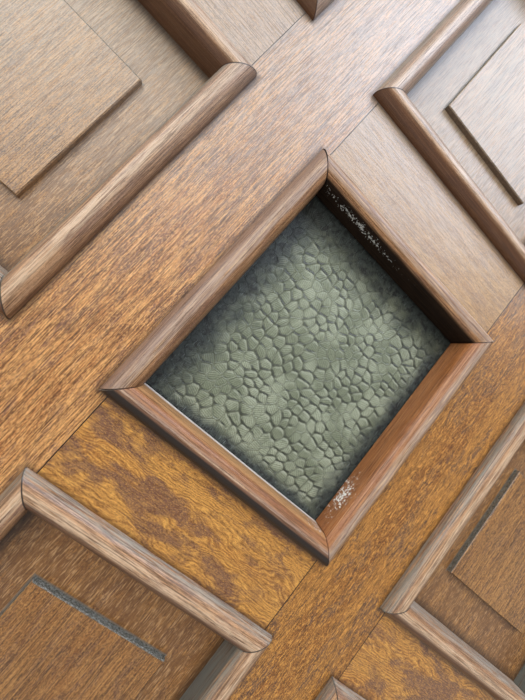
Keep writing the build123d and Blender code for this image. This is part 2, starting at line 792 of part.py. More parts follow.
def plate_bolt_heights():
    """The plates' bolts, one below and one above the lock case."""
    _, _, z0, z1 = case_span()
    return z0 - PLATE_BOLT_UNDER, z1 + PLATE_BOLT_OVER


def long_plate(side):
    """Plate behind a lever, with the cylinder's hole below."""
    inner = face_y(side)
    outer = inner + side * PLATE_T
    y0, y1 = min(inner, outer), max(inner, outer)
    low, high = plate_bolt_heights()
    plate = block(LOCK_X - PLATE_W / 2, LOCK_X + PLATE_W / 2, y0, y1,
                  low - PLATE_BOLT_INSET, high + PLATE_BOLT_INSET)
    plate = fillet(plate.edges().filter_by(Axis.Y), PLATE_ROUND)
    rim = plate.faces().sort_by(Axis.Y)[0 if side < 0 else -1].edges()
    plate = chamfer(rim, PLATE_BEVEL)
    y_collar = outer + side * COLLAR_H
    plate += rod_y(LOCK_X, SPINDLE_Z, COLLAR_R, min(inner, y_collar), max(inner, y_collar))
    far = inner + side * LEVER_REACH
    plate -= rod_y(LOCK_X, SPINDLE_Z, NECK_R + RUN_GAP, min(inner, far), max(inner, far))
    plate -= euro_bar(y0, y1, BORE_GAP)
    depth = PLATE_T if side > 0 else PLATE_BOLT_GRIP
    for z in plate_bolt_heights():
        end = inner + side * depth
        plate -= rod_y(LOCK_X, z, PLATE_BOLT_R + RUN_GAP, min(inner, end), max(inner, end))
    return plate


def plate_bolts():
    """Two bolts through the stile that clamp the plates, driven from the hall side."""
    bolts = []
    y0 = LEAF_OUT - PLATE_BOLT_GRIP
    y1 = LEAF_IN + PLATE_T
    y2 = y1 + PLATE_BOLT_HEAD_H
    for z in plate_bolt_heights():
        bolt = rod_y(LOCK_X, z, PLATE_BOLT_R, y0, y2)
        head = rod_y(LOCK_X, z, PLATE_BOLT_HEAD_R, y1, y2)
        rim = head.edges().filter_by(GeomType.CIRCLE).sort_by(Axis.Y)[-1]
        slot = block(LOCK_X - PLATE_BOLT_HEAD_R, LOCK_X + PLATE_BOLT_HEAD_R,
                     y2 - SCREW_SLOT_D, y2, z - SCREW_SLOT_W / 2, z + SCREW_SLOT_W / 2)
        bolts.append(bolt + fillet(rim, PLATE_BOLT_ROUND) - slot)
    return bolts


def lever(side):
    """Lever that points towards the hinges, on a round neck with a square socket."""
    inner = face_y(side)
    near = inner + side * LEVER_REACH
    far = near + side * LEVER_T
    grip_x = LOCK_X + LEVER_H / 2 - LEVER_L / 2
    grip = extrude(Plane.XZ * SlotOverall(LEVER_L, LEVER_H), LEVER_T / 2, both=True)
    rims = [edge for face in grip.faces().filter_by(Axis.Y) for edge in face.edges()]
    grip = Pos(grip_x, (near + far) / 2, SPINDLE_Z) * fillet(rims, LEVER_ROUND)
    root = far - side * LEVER_ROUND
    neck = rod_y(LOCK_X, SPINDLE_Z, NECK_R, min(inner, root), max(inner, root))
    end = spindle_ends()[0 if side < 0 else 1]
    return neck + grip - spindle_bar(min(inner, end), max(inner, end))


# Frame

def seal_ring(y0, y1, half_width):
    """Flat ring round the sight opening, the given half width each side of the seal's line."""
    inner = SEAL_INSET - half_width
    outer = SEAL_INSET + half_width
    ring = block(-SIGHT_X - outer, SIGHT_X + outer, y0, y1, SIGHT_LOW - outer, SIGHT_HIGH + outer)
    return ring - block(-SIGHT_X - inner, SIGHT_X + inner, y0, y1,
                        SIGHT_LOW - inner, SIGHT_HIGH + inner)


def seal_groove():
    return seal_ring(STOP_Y - SEAL_GROOVE_D, STOP_Y, SEAL_GROOVE_W / 2)


def weather_seal():
    """Compression seal in the stop, just clear of the closed leaf."""
    lip = seal_ring(STOP_Y, LEAF_OUT - SEAL_CLEAR, SEAL_LIP_W / 2)
    return seal_groove() + lip


def jamb_tenon(side, low, high):
    middle = side * (REBATE_X + JAMB_T / 2)
    y = (STOP_Y + LEAF_IN) / 2
    return block(middle - JAMB_TENON_W / 2, middle + JAMB_TENON_W / 2, y - JAMB_TENON_T / 2,
                 y + JAMB_TENON_T / 2, low, high)


def fixing_heights():
    """Wall fixings of a jamb, evenly spread between the lowest and the highest."""
    pitch = (FRAME_HIGH - FIXING_TOP - FIXING_LOW) / (FIXING_COUNT - 1)
    return [FIXING_LOW + index * pitch for index in range(FIXING_COUNT)]


def blank_jamb(side):
    """Rebated upright of the frame with tenons into the head and threshold."""
    outer = side * OUTER_X
    sight = side * SIGHT_X
    rebate = side * REBATE_X
    jamb = block(min(outer, sight), max(outer, sight), -FRAME_DEPTH / 2, STOP_Y,
                 SIGHT_LOW, SIGHT_HIGH)
    corner = [edge for edge in jamb.edges().filter_by(Axis.Z)
              if abs(edge.center().X) < REBATE_X and edge.center().Y < STOP_Y - FRAME_ARRIS]
    jamb = fillet(corner, FRAME_ARRIS)
    jamb += block(min(outer, rebate), max(outer, rebate), STOP_Y, FRAME_DEPTH / 2,
                  SILL_T, REBATE_HIGH)
    jamb += jamb_tenon(side, SILL_T - JAMB_TENON_L, SILL_T)
    jamb += jamb_tenon(side, REBATE_HIGH, REBATE_HIGH + JAMB_TENON_L)
    jamb -= seal_groove()
    for z in fixing_heights():
        middle = side * (REBATE_X + JAMB_T / 2)
        hole = Pos(middle, FRAME_DEPTH / 2 - FIXING_BACK, z) * Rot(0, 90, 0)
        jamb -= hole * Cylinder(FIXING_R, JAMB_T + REBATE)
    return jamb


def hinge_jamb():
    jamb = blank_jamb(-1)
    for z0 in hinge_heights().values():
        jamb -= hinge_recess(-1, z0)
        for place in hinge_screw_places(-1, z0):
            jamb -= screw_hole(*place)
    return jamb


def strike_span():
    """Y and Z of the strike plate."""
    _, _, z0, z1 = case_span()
    return LEAF_MID - FOREND_W / 2, LEAF_IN, z0 - STRIKE_END, z1 + STRIKE_END


def strike_screw_places():
    _, _, z0, z1 = strike_span()
    inset = FOREND_SCREW_INSET
    return [(REBATE_X, LEAF_MID, z, 1) for z in (z0 + inset, z1 - inset)]


def strike_plate():
    y0, y1, z0, z1 = strike_span()
    x0, x1 = REBATE_X, REBATE_X + STRIKE_T
    plate = block(x0, x1, y0, y1, z0, z1)
    plate -= latch_window(x0, x1, STRIKE_GAP)
    plate -= bolt_window(x0, x1, STRIKE_GAP)
    for place in strike_screw_places():
        plate -= screw_hole(*place)
    return plate


def lock_jamb():
    jamb = blank_jamb(1)
    y0, y1, z0, z1 = strike_span()
    x0, x1 = REBATE_X, REBATE_X + STRIKE_T
    jamb -= block(x0, x1, y0, y1, z0, z1)
    jamb -= latch_window(x0, x0 + LATCH_OUT + POCKET_SPARE, STRIKE_GAP)
    jamb -= bolt_window(x0, x0 + BOLT_THROW + POCKET_SPARE, STRIKE_GAP)
    for place in strike_screw_places():
        jamb -= screw_hole(*place)
    return jamb


def head_jamb():
    """Head over both jambs, rebated like them."""
    head = block(-OUTER_X, OUTER_X, -FRAME_DEPTH / 2, STOP_Y, SIGHT_HIGH, FRAME_HIGH)
    head += block(-OUTER_X, OUTER_X, STOP_Y, FRAME_DEPTH / 2, REBATE_HIGH, FRAME_HIGH)
    for side in (-1, 1):
        head -= jamb_tenon(side, REBATE_HIGH, REBATE_HIGH + JAMB_TENON_L + END_GAP)
    return head - seal_groove()


def threshold():
    """Sill under both jambs, with its top falling to the street between them."""
    sill = block(-OUTER_X, OUTER_X, -FRAME_DEPTH / 2, STOP_Y, 0, SIGHT_LOW)
    sill += block(-OUTER_X, OUTER_X, STOP_Y, FRAME_DEPTH / 2, 0, SILL_T)
    fall = Polyline((-FRAME_DEPTH / 2, SIGHT_LOW), (STOP_Y - REBATE, SIGHT_LOW),
                    (-FRAME_DEPTH / 2, SIGHT_LOW - SILL_FALL), (-FRAME_DEPTH / 2, SIGHT_LOW))
    sill -= extrude(Plane.YZ * make_face(fall), SIGHT_X, both=True)
    for side in (-1, 1):
        sill -= jamb_tenon(side, SILL_T - JAMB_TENON_L - END_GAP, SILL_T)
    return sill - seal_groove()


def mouldings():
    """Every moulding and bead, as lists of solids by node name."""
    depth = GLASS_DEPTH - TAPE_T
    bead_depth = LEAF_T - GLASS_DEPTH - GLASS_T - TAPE_T
    panel_set = moulding_set(bolection_face(MARGIN_DEPTH), MOULD_W, MOULD_LAP, LEAF_OUT, -1)
    window_set = moulding_set(bolection_face(depth), MOULD_W, MOULD_LAP, LEAF_OUT, -1)
    inside_set = moulding_set(bead_face(MARGIN_DEPTH), BEAD_W, 0, LEAF_IN, 1)
    bead_set = moulding_set(bead_face(bead_depth), BEAD_W, 0, LEAF_IN, 1)
    nodes = {}
    for index, way in enumerate(("horizontal", "vertical")):
        nodes[f"panel_mouldings_{way}"] = at_cells(panel_set[index], False)
        nodes[f"window_mouldings_{way}"] = at_cells(window_set[index], True)
        nodes[f"inside_mouldings_{way}"] = at_cells(inside_set[index], False)
        nodes[f"glazing_beads_{way}"] = at_cells(bead_set[index], True)
    return nodes


def frame_nodes():
    nodes = {
        "hinge_jamb": hinge_jamb(), "lock_jamb": lock_jamb(), "head_jamb": head_jamb(),
        "threshold": threshold(), "weather_seal": weather_seal(), "strike_plate": strike_plate(),
        "strike_screws": [screw(*place) for place in strike_screw_places()],
        "hinge_pins": [hinge_pin(z0) for z0 in hinge_heights().values()],
        "frame_hinge_screws": hinge_screws(-1),
    }
    for name, z0 in hinge_heights().items():
        nodes[f"{name}_hinge_frame_half"] = hinge_half(-1, z0)
    return nodes


def leaf_nodes():
    nodes = {
        "hinge_stile": hinge_stile(), "lock_stile": lock_stile(), "top_rail": top_rail(),
        "bottom_rail": bottom_rail(), "window_glass": window_glass(),
        "glazing_tapes": glazing_tapes(), "setting_blocks": setting_blocks(),
        "leaf_hinge_screws": hinge_screws(1),
    }
    for index in range(COLUMNS - 1):
        nodes[f"muntin_{index + 1}"] = muntin(index)
    for row in range(ROWS - 1):
        nodes[f"cross_rails_{row + 1}"] = cross_rails(row)
    for row in range(ROWS):
        nodes[f"panels_{row + 1}"] = panels(row)
    for name, z0 in hinge_heights().items():
        nodes[f"{name}_hinge_leaf_half"] = hinge_half(1, z0)
    nodes.update(mouldings())
    return nodes


def lock_nodes():
    return {
        "lock_case": lock_case(), "lock_case_cover": lock_case_cover(), "forend": forend(),
        "forend_screws": [screw(*place) for place in forend_screw_places()],
        "follower": follower(), "spindle": spindle(), "latch_bolt": latch_bolt(),
        "dead_bolt": dead_bolt(), "lock_cylinder": lock_cylinder(),
        "cylinder_plug": cylinder_plug(), "thumb_turn": thumb_turn(),
        "outside_plate": long_plate(-1), "inside_plate": long_plate(1),
        "plate_bolts": plate_bolts(), "outside_lever": lever(-1), "inside_lever": lever(1),
    }


def main():
    os.makedirs("parts", exist_ok=True)
    nodes = {**frame_nodes(), **leaf_nodes(), **lock_nodes()}
    for name, shape in nodes.items():
        solids = shape if isinstance(shape, list) else [shape]
        whole = Compound(children=[solid for piece in solids for solid in piece.solids()])
        export_step(whole, f"parts/{name}.step")


main()
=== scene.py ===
"""Looks of a panelled oak front door with its frame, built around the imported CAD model.

Lengths are in metres, in the CAD's frame: X to the right seen from the street, Y into the
house, Z up. MM turns millimetres to metres. A seed only shifts a pattern, so that no two
layers and no two boards repeat each other.
"""

import json
import logging
import math
from collections.abc import Iterator
from dataclasses import dataclass, field
from enum import Enum
from functools import partial
from typing import Any

import bmesh
import bpy
from mathutils import Matrix, Vector, kdtree, noise


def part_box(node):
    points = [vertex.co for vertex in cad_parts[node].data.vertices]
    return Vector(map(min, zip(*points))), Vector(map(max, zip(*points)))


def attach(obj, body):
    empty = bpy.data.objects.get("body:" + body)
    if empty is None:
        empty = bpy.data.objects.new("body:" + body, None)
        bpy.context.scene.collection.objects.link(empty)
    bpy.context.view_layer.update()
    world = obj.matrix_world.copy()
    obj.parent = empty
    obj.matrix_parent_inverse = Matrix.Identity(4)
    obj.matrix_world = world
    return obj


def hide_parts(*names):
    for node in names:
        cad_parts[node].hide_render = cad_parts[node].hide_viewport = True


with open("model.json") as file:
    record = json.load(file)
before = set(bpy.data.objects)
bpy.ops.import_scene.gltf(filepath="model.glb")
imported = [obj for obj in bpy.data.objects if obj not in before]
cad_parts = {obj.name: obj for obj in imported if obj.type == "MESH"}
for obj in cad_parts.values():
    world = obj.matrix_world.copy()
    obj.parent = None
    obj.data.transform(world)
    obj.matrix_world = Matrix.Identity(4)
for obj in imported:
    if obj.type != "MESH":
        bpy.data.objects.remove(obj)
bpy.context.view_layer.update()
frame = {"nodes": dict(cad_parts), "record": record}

Object = bpy.types.Object
Socket = bpy.types.NodeSocket
Tree = bpy.types.NodeTree

LOG = logging.getLogger("door")
MM = 0.001
# Blender's noise_vector starts from the clock unless it is given a seed.
NOISE_SEED = 1
CROSS_RAILS = range(1, 6)
PANELS = range(1, 7)
# Deeper than the door is thick, so that no pattern is cut up along its depth.
DEEP = 10.0
# How far one board's grain is shifted against another's, at most.
SHIFT = (3.0, 3.0, 3.0)
# Colour of the backdrop and the floor.
PALE = "#DFDDD9"


def linear(code: str) -> tuple[float, float, float, float]:
    """Turn an sRGB hex colour to linear.

    Args:
        code: Colour as "#RRGGBB".

    Returns:
        Linear red, green, blue and an alpha of 1.
    """
    parts = [int(code[i:i + 2], 16) / 255 for i in (1, 3, 5)]
    curve = [c / 12.92 if c <= 0.04045 else ((c + 0.055) / 1.055) ** 2.4 for c in parts]
    return (*curve, 1.0)


def clamp(value: float, low: float = 0.0, high: float = 1.0) -> float:
    """Hold a value between two limits."""
    return min(high, max(low, value))


def add(tree: Tree, kind: str, inputs: dict[str | int, Any] | None = None,
        out: str | int = 0, **settings: Any) -> Socket | None:
    """Add a node with its settings, values and links.

    Args:
        tree: Node tree that gets the node.
        kind: The node's type, without the ShaderNode that all of them start with.
        inputs: Values by input; a socket as the value is linked.
        out: The output that is wanted.
        settings: The node's own properties.

    Returns:
        That output, or None from a node without outputs.
    """
    node = tree.nodes.new("ShaderNode" + kind)
    for name, value in settings.items():
        setattr(node, name, value)
    for key, value in (inputs or {}).items():
        if isinstance(value, bpy.types.NodeSocket):
            tree.links.new(value, node.inputs[key])
        else:
            node.inputs[key].default_value = value
    return node.outputs[out] if node.outputs else None


def dress(obj: Object, material: bpy.types.Material) -> None:
    """Put one material on every slot of an object.

    Args:
        obj: CAD node or new piece.
        material: The finish.
    """
    if not obj.material_slots:
        obj.data.materials.append(material)
    for place in obj.material_slots:
        place.material = material


def new_piece(name: str, bm: bmesh.types.BMesh, sharp_deg: float = 35.0) -> Object:
    """Turn a bmesh into an object at the origin, smooth but for its sharp edges.

    Args:
        name: The piece's name.
        bm: Its mesh, which is freed.
        sharp_deg: Angle between faces past which an edge stays sharp.

    Returns:
        The object.
    """
    bm.normal_update()
    limit = math.radians(sharp_deg)
    for edge in bm.edges:
        edge.smooth = edge.is_manifold and edge.calc_face_angle(0.0) < limit
    for face in bm.faces:
        face.smooth = True
    mesh = bpy.data.meshes.new(name)
    bm.to_mesh(mesh)
    bm.free()
    obj = bpy.data.objects.new(name, mesh)
    bpy.context.scene.collection.objects.link(obj)
    return obj


class Joint(Enum):
    """Where a board meets its neighbours: one line of dirt each."""

    CELL_SIDES = "the sides of every opening"
    GRID_SIDES = "the sides of the outermost openings"
    GRID_ENDS = "the head and foot of the outermost openings"


class Grain(Enum):
    """Which way a board's grain runs."""

    UPRIGHT = "z"
    ACROSS = "x"
    RUN = "along the piece"


@dataclass(frozen=True)
class Layer:
    """One pattern of grain: streaks of a width and a length in millimetres."""

    width: float
    length: float
    detail: float = 2.0
    rough: float = 0.5
    distort: float = 0.0

    def draw(self, tree: Tree, grain: Socket, seed: float) -> Socket:
        """Draw the pattern.

        Args:
            tree: The material's tree.
            grain: Place in the board, across, deep and along, in metres.
            seed: Shift that sets this pattern apart.

        Returns:
            The pattern's level, about 0.3 to 0.7.
        """
        across, along = 1 / (self.width * MM), 1 / (self.length * MM)
        place = add(tree, "VectorMath", {0: grain, 1: (across, across, along),
                                         2: (seed, seed * 1.7, seed * 2.3)},
                    operation="MULTIPLY_ADD")
        return add(tree, "TexNoise", {"Vector": place, "Scale": 1.0, "Detail": self.detail,
                                      "Roughness": self.rough, "Distortion": self.distort})


@dataclass(frozen=True)
class Ramp:
    """A mask that rises smoothly from the level where it starts to where it is full."""

    start: float
    full: float
    strength: float = 1.0

    def cover(self, tree: Tree, pattern: Socket, within: Socket | float = 1.0) -> Socket:
        """Work out the mask.

        Args:
            tree: The material's tree.
            pattern: The level that the mask follows.
            within: Another mask that holds it back.

        Returns:
            0 to the strength.
        """
        shown = add(tree, "MapRange", {0: pattern, 1: self.start, 2: self.full, 3: 0.0,
                                       4: self.strength}, interpolation_type="SMOOTHSTEP")
        return add(tree, "Math", {0: shown, 1: within}, operation="MULTIPLY")


@dataclass(frozen=True)
class Stain:
    """A colour that lies over another, as thick as a ramp says."""

    tone: str
    start: float
    full: float
    strength: float = 1.0

    def cover(self, tree: Tree, pattern: Socket, within: Socket | float = 1.0) -> Socket:
        """How much of the colour shows, from 0 to its strength."""
        return Ramp(self.start, self.full, self.strength).cover(tree, pattern, within)

    def lay(self, tree: Tree, below: Socket | str, pattern: Socket,
            within: Socket | float = 1.0) -> Socket:
        """Lay the colour over what is below.

        Args:
            tree: The material's tree.
            below: The colour below, a hex code or a socket.
            pattern: The level that the stain follows.
            within: A mask that holds the stain back.

        Returns:
            The colour that shows.
        """
        base = linear(below) if isinstance(below, str) else below
        return add(tree, "Mix", {0: self.cover(tree, pattern, within), 6: base,
                                 7: linear(self.tone)}, 2, data_type="RGBA")


@dataclass(frozen=True)
class DoorGrid:
    """The leaf's cells, worked out from the boxes of its muntins and cross rails."""

    left: float
    low: float
    cell_w: float
    cell_h: float
    pitch_x: float
    pitch_z: float
    street: float
    hall: float
    window: tuple[int, int]
    columns: int = 3
    rows: int = 6

    @classmethod
    def from_frame(cls) -> "DoorGrid":
        """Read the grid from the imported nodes."""
        first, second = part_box("muntin_1"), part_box("muntin_2")
        feet = sorted(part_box(f"cross_rails_{k}")[0].z for k in CROSS_RAILS)
        tops = sorted(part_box(f"cross_rails_{k}")[1].z for k in CROSS_RAILS)
        pitch_x, pitch_z = second[0].x - first[0].x, feet[1] - feet[0]
        cell_w, cell_h = second[0].x - first[1].x, feet[1] - tops[0]
        left, low = first[0].x - cell_w, feet[0] - cell_h
        glass = sum(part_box("window_glass"), Vector()) / 2
        window = (int((glass.x - left) // pitch_x), int((glass.z - low) // pitch_z))
        return cls(left, low, cell_w, cell_h, pitch_x, pitch_z, first[0].y, first[1].y,
                   window)

    def corner(self, column: int, row: int) -> Vector:
        """Lower left corner of a cell, on the street face."""
        return Vector((self.left + column * self.pitch_x, self.street,
                       self.low + row * self.pitch_z))

    def opening(self) -> Vector:
        """Width and height of each cell."""
        return Vector((self.cell_w, 0.0, self.cell_h))

    def span(self) -> tuple[Vector, Vector]:
        """Lowest and highest corner of the rectangle that all cells fill."""
        last = self.corner(self.columns - 1, self.rows - 1)
        return self.corner(0, 0), last + self.opening()

    def cells(self, window: bool) -> Iterator[Vector]:
        """Corners of the window's cell, or of every other cell."""
        for row in range(self.rows):
            for column in range(self.columns):
                if ((column, row) == self.window) == window:
                    yield self.corner(column, row)

    def centred(self, tree: Tree, spot: Socket) -> Socket:
        """Find the place from the middle of the nearest cell.

        Args:
            tree: The material's tree.
            spot: The point.

        Returns:
            The place in metres, which runs on outside the outermost cells.
        """
        new = partial(add, tree, "VectorMath")
        far = Vector((0.0, DEEP / 2, 0.0))
        low, high = self.span()
        held = new({0: spot, 1: low - far}, operation="MAXIMUM")
        held = new({0: held, 1: high + far}, operation="MINIMUM")
        over = new({0: spot, 1: held}, operation="SUBTRACT")
        middle = low + self.opening() / 2
        reach = Vector((self.pitch_x, DEEP, self.pitch_z)) / 2
        place = new({0: held, 1: middle + reach, 2: middle - reach}, operation="WRAP")
        place = new({0: place, 1: middle}, operation="SUBTRACT")
        return new({0: place, 1: over}, operation="ADD")

    def past(self, tree: Tree, spot: Socket, axis: int) -> Socket:
        """Find how far a point lies past the outermost openings.

        Args:
            tree: The material's tree.
            spot: The point.
            axis: 0 for their sides, 2 for their head and foot.

        Returns:
            The distance in metres, less than 0 between them.
        """
        low, high = (corner[axis] for corner in self.span())
        value = add(tree, "SeparateXYZ", {0: spot}, axis)
        value = add(tree, "Math", {0: value, 1: (low + high) / 2}, operation="SUBTRACT")
        value = add(tree, "Math", {0: value}, operation="ABSOLUTE")
        return add(tree, "Math", {0: value, 1: (high - low) / 2}, operation="SUBTRACT")

    def street_side(self, tree: Tree, spot: Socket) -> Socket:
        """A mask that is 1 on the street half of the leaf and 0 on the hall half."""
        middle, blur = (self.street + self.hall) / 2, 3 * MM
        deep = add(tree, "SeparateXYZ", {0: spot}, 1)
        return Ramp(middle + blur, middle - blur).cover(tree, deep)

    def from_centre(self, tree: Tree, spot: Socket, way: str, edge: float,
                    signed: bool = False) -> Socket:
        """Find how far a point lies past an edge of its cell.

        Args:
            tree: The material's tree.
            spot: The point.
            way: "x" or "z", with a minus for the left or lower side.
            edge: The edge's distance from the cell's middle.
            signed: Whether only that side counts, and not both.

        Returns:
            The distance in metres, less than 0 before the edge.
        """
        value = add(tree, "SeparateXYZ", {0: self.centred(tree, spot)}, "xyz".index(way[-1]))
        turn = -1.0 if way[0] == "-" else 1.0
        value = add(tree, "Math", {0: value, 1: turn}, operation="MULTIPLY")
        if not signed:
            value = add(tree, "Math", {0: value}, operation="ABSOLUTE")
        return add(tree, "Math", {0: value, 1: edge}, operation="SUBTRACT")

    def outside(self, tree: Tree, spot: Socket, grow_x: float, grow_z: float) -> Socket:
        """Find how far a point lies outside the cell's opening, grown by some lengths.

        Args:
            tree: The material's tree.
            spot: The point.
            grow_x: How far the rectangle's sides lie outside the opening.
            grow_z: How far its top and bottom do.

        Returns:
            The distance in metres, less than 0 inside the rectangle.
        """
        across = self.from_centre(tree, spot, "x", self.cell_w / 2 + grow_x)
        high = self.from_centre(tree, spot, "z", self.cell_h / 2 + grow_z)
        return add(tree, "Math", {0: across, 1: high}, operation="MAXIMUM")


@dataclass(frozen=True)
class Finish:
    """A finish, which draws the inputs of its shader."""

    name: str

    def spot(self, tree: Tree) -> Socket:
        """Place on the object, in metres."""
        return add(tree, "TexCoord", out="Object")

    def facing(self, tree: Tree, axis: int) -> Socket:
        """How far a face looks along an axis, from -1 to 1."""
        return add(tree, "SeparateXYZ", {0: add(tree, "TexCoord", out="Normal")}, axis)

    def shader(self, tree: Tree) -> dict[str, Any]:
        """Draw the inputs of the Principled shader."""
        raise NotImplementedError

    def surface(self, tree: Tree) -> Socket:
        """The shader that the surface shows."""
        return add(tree, "BsdfPrincipled", self.shader(tree))

    def material(self) -> bpy.types.Material:
        """Make the material.

        Returns:
            The material, with a node tree of its own.
        """
        material = bpy.data.materials.new(self.name)
        material.use_nodes = True
        tree = material.node_tree
        tree.nodes.clear()
        add(tree, "OutputMaterial", {"Surface": self.surface(tree)})
        return material


def dress_nodes(finish: Finish, *nodes: str) -> None:
    """Give a finish to some CAD nodes.

    Args:
        finish: The finish, which they share.
        nodes: Their names.
    """
    material = finish.material()
    for node in nodes:
        dress(frame["nodes"][node], material)
        LOG.info("%s: %s", node, finish.name)


@dataclass(frozen=True)
class Tones:
    """The colours of one stained oak board."""

    body: str = "#B57238"
    light: str = "#ECB06A"
    mauve: str = "#7B5649"
    deep: str = "#6F401B"
    pore: str = "#331B0F"


@dataclass(frozen=True)
class StainedOak(Finish):
    """Oak, stained and varnished: honey brown, with dark pores and long fibres.

    The stain settles in the open pores, which gives fine dark dashes along the grain, and the
    satin varnish gives a soft sheen that the fibres break up. Real pores and fibres are 0.1
    to 0.3 mm wide. They are drawn at 0.5 to 0.8 mm, as fine as the render can show.
    """

    grain: Grain
    grid: DoorGrid
    tones: Tones = Tones()
    boards: Vector | None = None
    streak: float = 0.8
    fibre: float = 0.85
    stipple: float = 0.5
    pores: float = 0.6
    figure: float = 0.0
    fleck: float = 0.0
    roughness: float = 0.46
    varnish: float = 0.8
    seed: float = 1.0
    reach: float = 24.0
    # Tone of the painted sky reflection, a pale grey veil over the wood.
    veil_tone: str = "#D3CAC3"
    # How strongly dust covers the faces that lean up; on faces that lean left it is also a
    # painted sky reflection.
    dust: float = 0.15

    def place(self, tree: Tree) -> Socket:
        """Find the place in the board.

        A node of several boards is cut up at the grid's pitch, so that each has its own grain.

        Args:
            tree: The material's tree.

        Returns:
            Across, deep and along the board, in metres.
        """
        spot = self.spot(tree)
        if self.boards is None:
            shift = add(tree, "TexWhiteNoise", {"W": self.seed}, "Color",
                        noise_dimensions="1D")
        else:
            pitch = (self.grid.pitch_x, DEEP, self.grid.pitch_z)
            count = add(tree, "VectorMath", {0: spot, 1: self.boards}, operation="SUBTRACT")
            count = add(tree, "VectorMath", {0: count, 1: pitch}, operation="DIVIDE")
            count = add(tree, "VectorMath", {0: count}, operation="FLOOR")
            shift = add(tree, "TexWhiteNoise", {"Vector": count}, "Color",
                        noise_dimensions="3D")
        if self.grain is Grain.ACROSS:
            x, y, z = (add(tree, "SeparateXYZ", {0: spot}, axis) for axis in range(3))
            spot = add(tree, "CombineXYZ", {0: z, 1: y, 2: x})
        return add(tree, "VectorMath", {0: shift, 1: SHIFT, 2: spot},
                   operation="MULTIPLY_ADD")

    def figured(self, tree: Tree, grain: Socket, colour: Socket) -> Socket:
        """Lay the wavy figure and the gold flecks of a flat-sawn board.

        Args:
            tree: The material's tree.
            grain: Place in the board.
            colour: The colour below.

        Returns:
            The colour that shows.
        """
        tones = self.tones
        if self.figure > 0:
            patch = Layer(15, 32, detail=4.0, rough=0.6, distort=0.5).draw(tree, grain, 37.0)
            colour = Stain(tones.mauve, 0.44, 0.6, self.figure).lay(tree, colour, patch)
            swirl = Layer(26, 60, detail=3.0, rough=0.55).draw(tree, grain, 31.0)
            ring_width, waviness = 2.9 * MM, 16.0
            rings = add(tree, "Math", {0: add(tree, "SeparateXYZ", {0: grain}),
                                       1: 1 / ring_width}, operation="MULTIPLY")
            rings = add(tree, "Math", {0: swirl, 1: waviness, 2: rings},
                        operation="MULTIPLY_ADD")
            rings = add(tree, "Math", {0: rings, 1: 0.5}, operation="PINGPONG")
            within = add(tree, "Math", {0: 1.15, 1: Ramp(0.44, 0.6).cover(tree, patch)},
                         operation="SUBTRACT")
            broken = Layer(1.4, 5.0, detail=4.0, rough=0.75).draw(tree, grain, 33.0)
            within = Ramp(0.42, 0.52).cover(tree, broken, within)
            colour = Stain(tones.light, 0.26, 0.42, self.fleck).lay(tree, colour, rings,
                                                                    within)
            broken = Ramp(0.56, 0.46, self.figure * 0.8).cover(tree, broken)
            return Stain(tones.deep, 0.22, 0.06).lay(tree, colour, rings, broken)
        if self.fleck > 0:
            gold = Layer(1.5, 5.0, detail=3.0, rough=0.65).draw(tree, grain, 43.0)
            return Stain(tones.light, 0.5, 0.62, self.fleck).lay(tree, colour, gold)
        return colour

    def painted_sky_veil(self, tree: Tree, colour: Socket) -> Socket:
        """Paint a pale grey veil towards the head and the hinges: a painted reflection of a
        bright sky.

        Args:
            tree: The material's tree.
            colour: The colour below.

        Returns:
            The colour that shows.
        """
        grain, spot = self.place(tree), self.spot(tree)
        towards_veil = (-0.6, 0.0, 1.0)
        veil_side = add(tree, "VectorMath", {0: spot, 1: towards_veil}, "Value",
                  operation="DOT_PRODUCT")
        veiled = Ramp(1.44, 1.88).cover(tree, veil_side, self.grid.street_side(tree, spot))
        wear_and_sheen = Layer(0.8, 13.0, detail=3.0, rough=0.65).draw(tree, grain, 91.0)
        wear_and_sheen = add(tree, "MapRange", {0: wear_and_sheen, 1: 0.6, 2: 0.42, 3: 0.6, 4: 1.0})
        wear_and_sheen = add(tree, "Math", {0: wear_and_sheen, 1: veiled}, operation="MULTIPLY")
        # Painted reflection: a pale grey veil for the bright sky in the varnish, broken up along
        # the grain.
        colour = Stain(self.veil_tone, 0.0, 1.0, 0.66).lay(tree, colour, wear_and_sheen)
        open_grain = Layer(0.6, 22.0, detail=2.0, rough=0.6).draw(tree, grain, 95.0)
        return Stain("#6F6154", 0.54, 0.62, 0.5).lay(tree, colour, open_grain, veiled)

    def aged_with_painted_light(self, tree: Tree, colour: Socket) -> Socket:
        """Add the dirt, wear and painted light of this kind of piece; a plain board has none."""
        return colour

    def dust_and_painted_light(self, tree: Tree, colour: Socket) -> tuple[Socket, Socket]:
        """Add dust to the faces that lean up, dust with a painted sky reflection to those that
        lean to the left, and painted shade to those that lean down or to the right.

        Args:
            tree: The material's tree.
            colour: The colour below.

        Returns:
            The colour that shows, and how far the dust and its painted sky reflection hide the
            varnish.
        """
        spot = self.spot(tree)
        side = add(tree, "Math", {0: self.facing(tree, 0), 1: -0.5}, operation="MULTIPLY")
        slope = add(tree, "Math", {0: self.facing(tree, 2), 1: 0.85, 2: side},
                    operation="MULTIPLY_ADD")
        patchy = Layer(3.0, 3.0, detail=4.0, rough=0.75).draw(tree, spot, 71.0)
        slope = add(tree, "Math", {0: patchy, 1: 0.9, 2: slope}, operation="MULTIPLY_ADD")
        grit = Layer(0.8, 0.8, detail=2.0, rough=0.7).draw(tree, spot, 73.0)
        # Grey dust, which on faces that lean left also stands for a painted sky reflection.
        dust_and_sky_tint = Stain("#8E918A", 0.46, 0.6).lay(tree, "#45463F", grit)
        matt = Ramp(0.8, 1.05, self.dust).cover(tree, slope)
        # Painted shade on the faces that lean down or to the right.
        colour = Stain("#2E1A0C", 0.2, -0.5, 0.7).lay(tree, colour, slope)
        colour = add(tree, "Mix", {0: matt, 6: colour, 7: dust_and_sky_tint}, 2, data_type="RGBA")
        return colour, matt

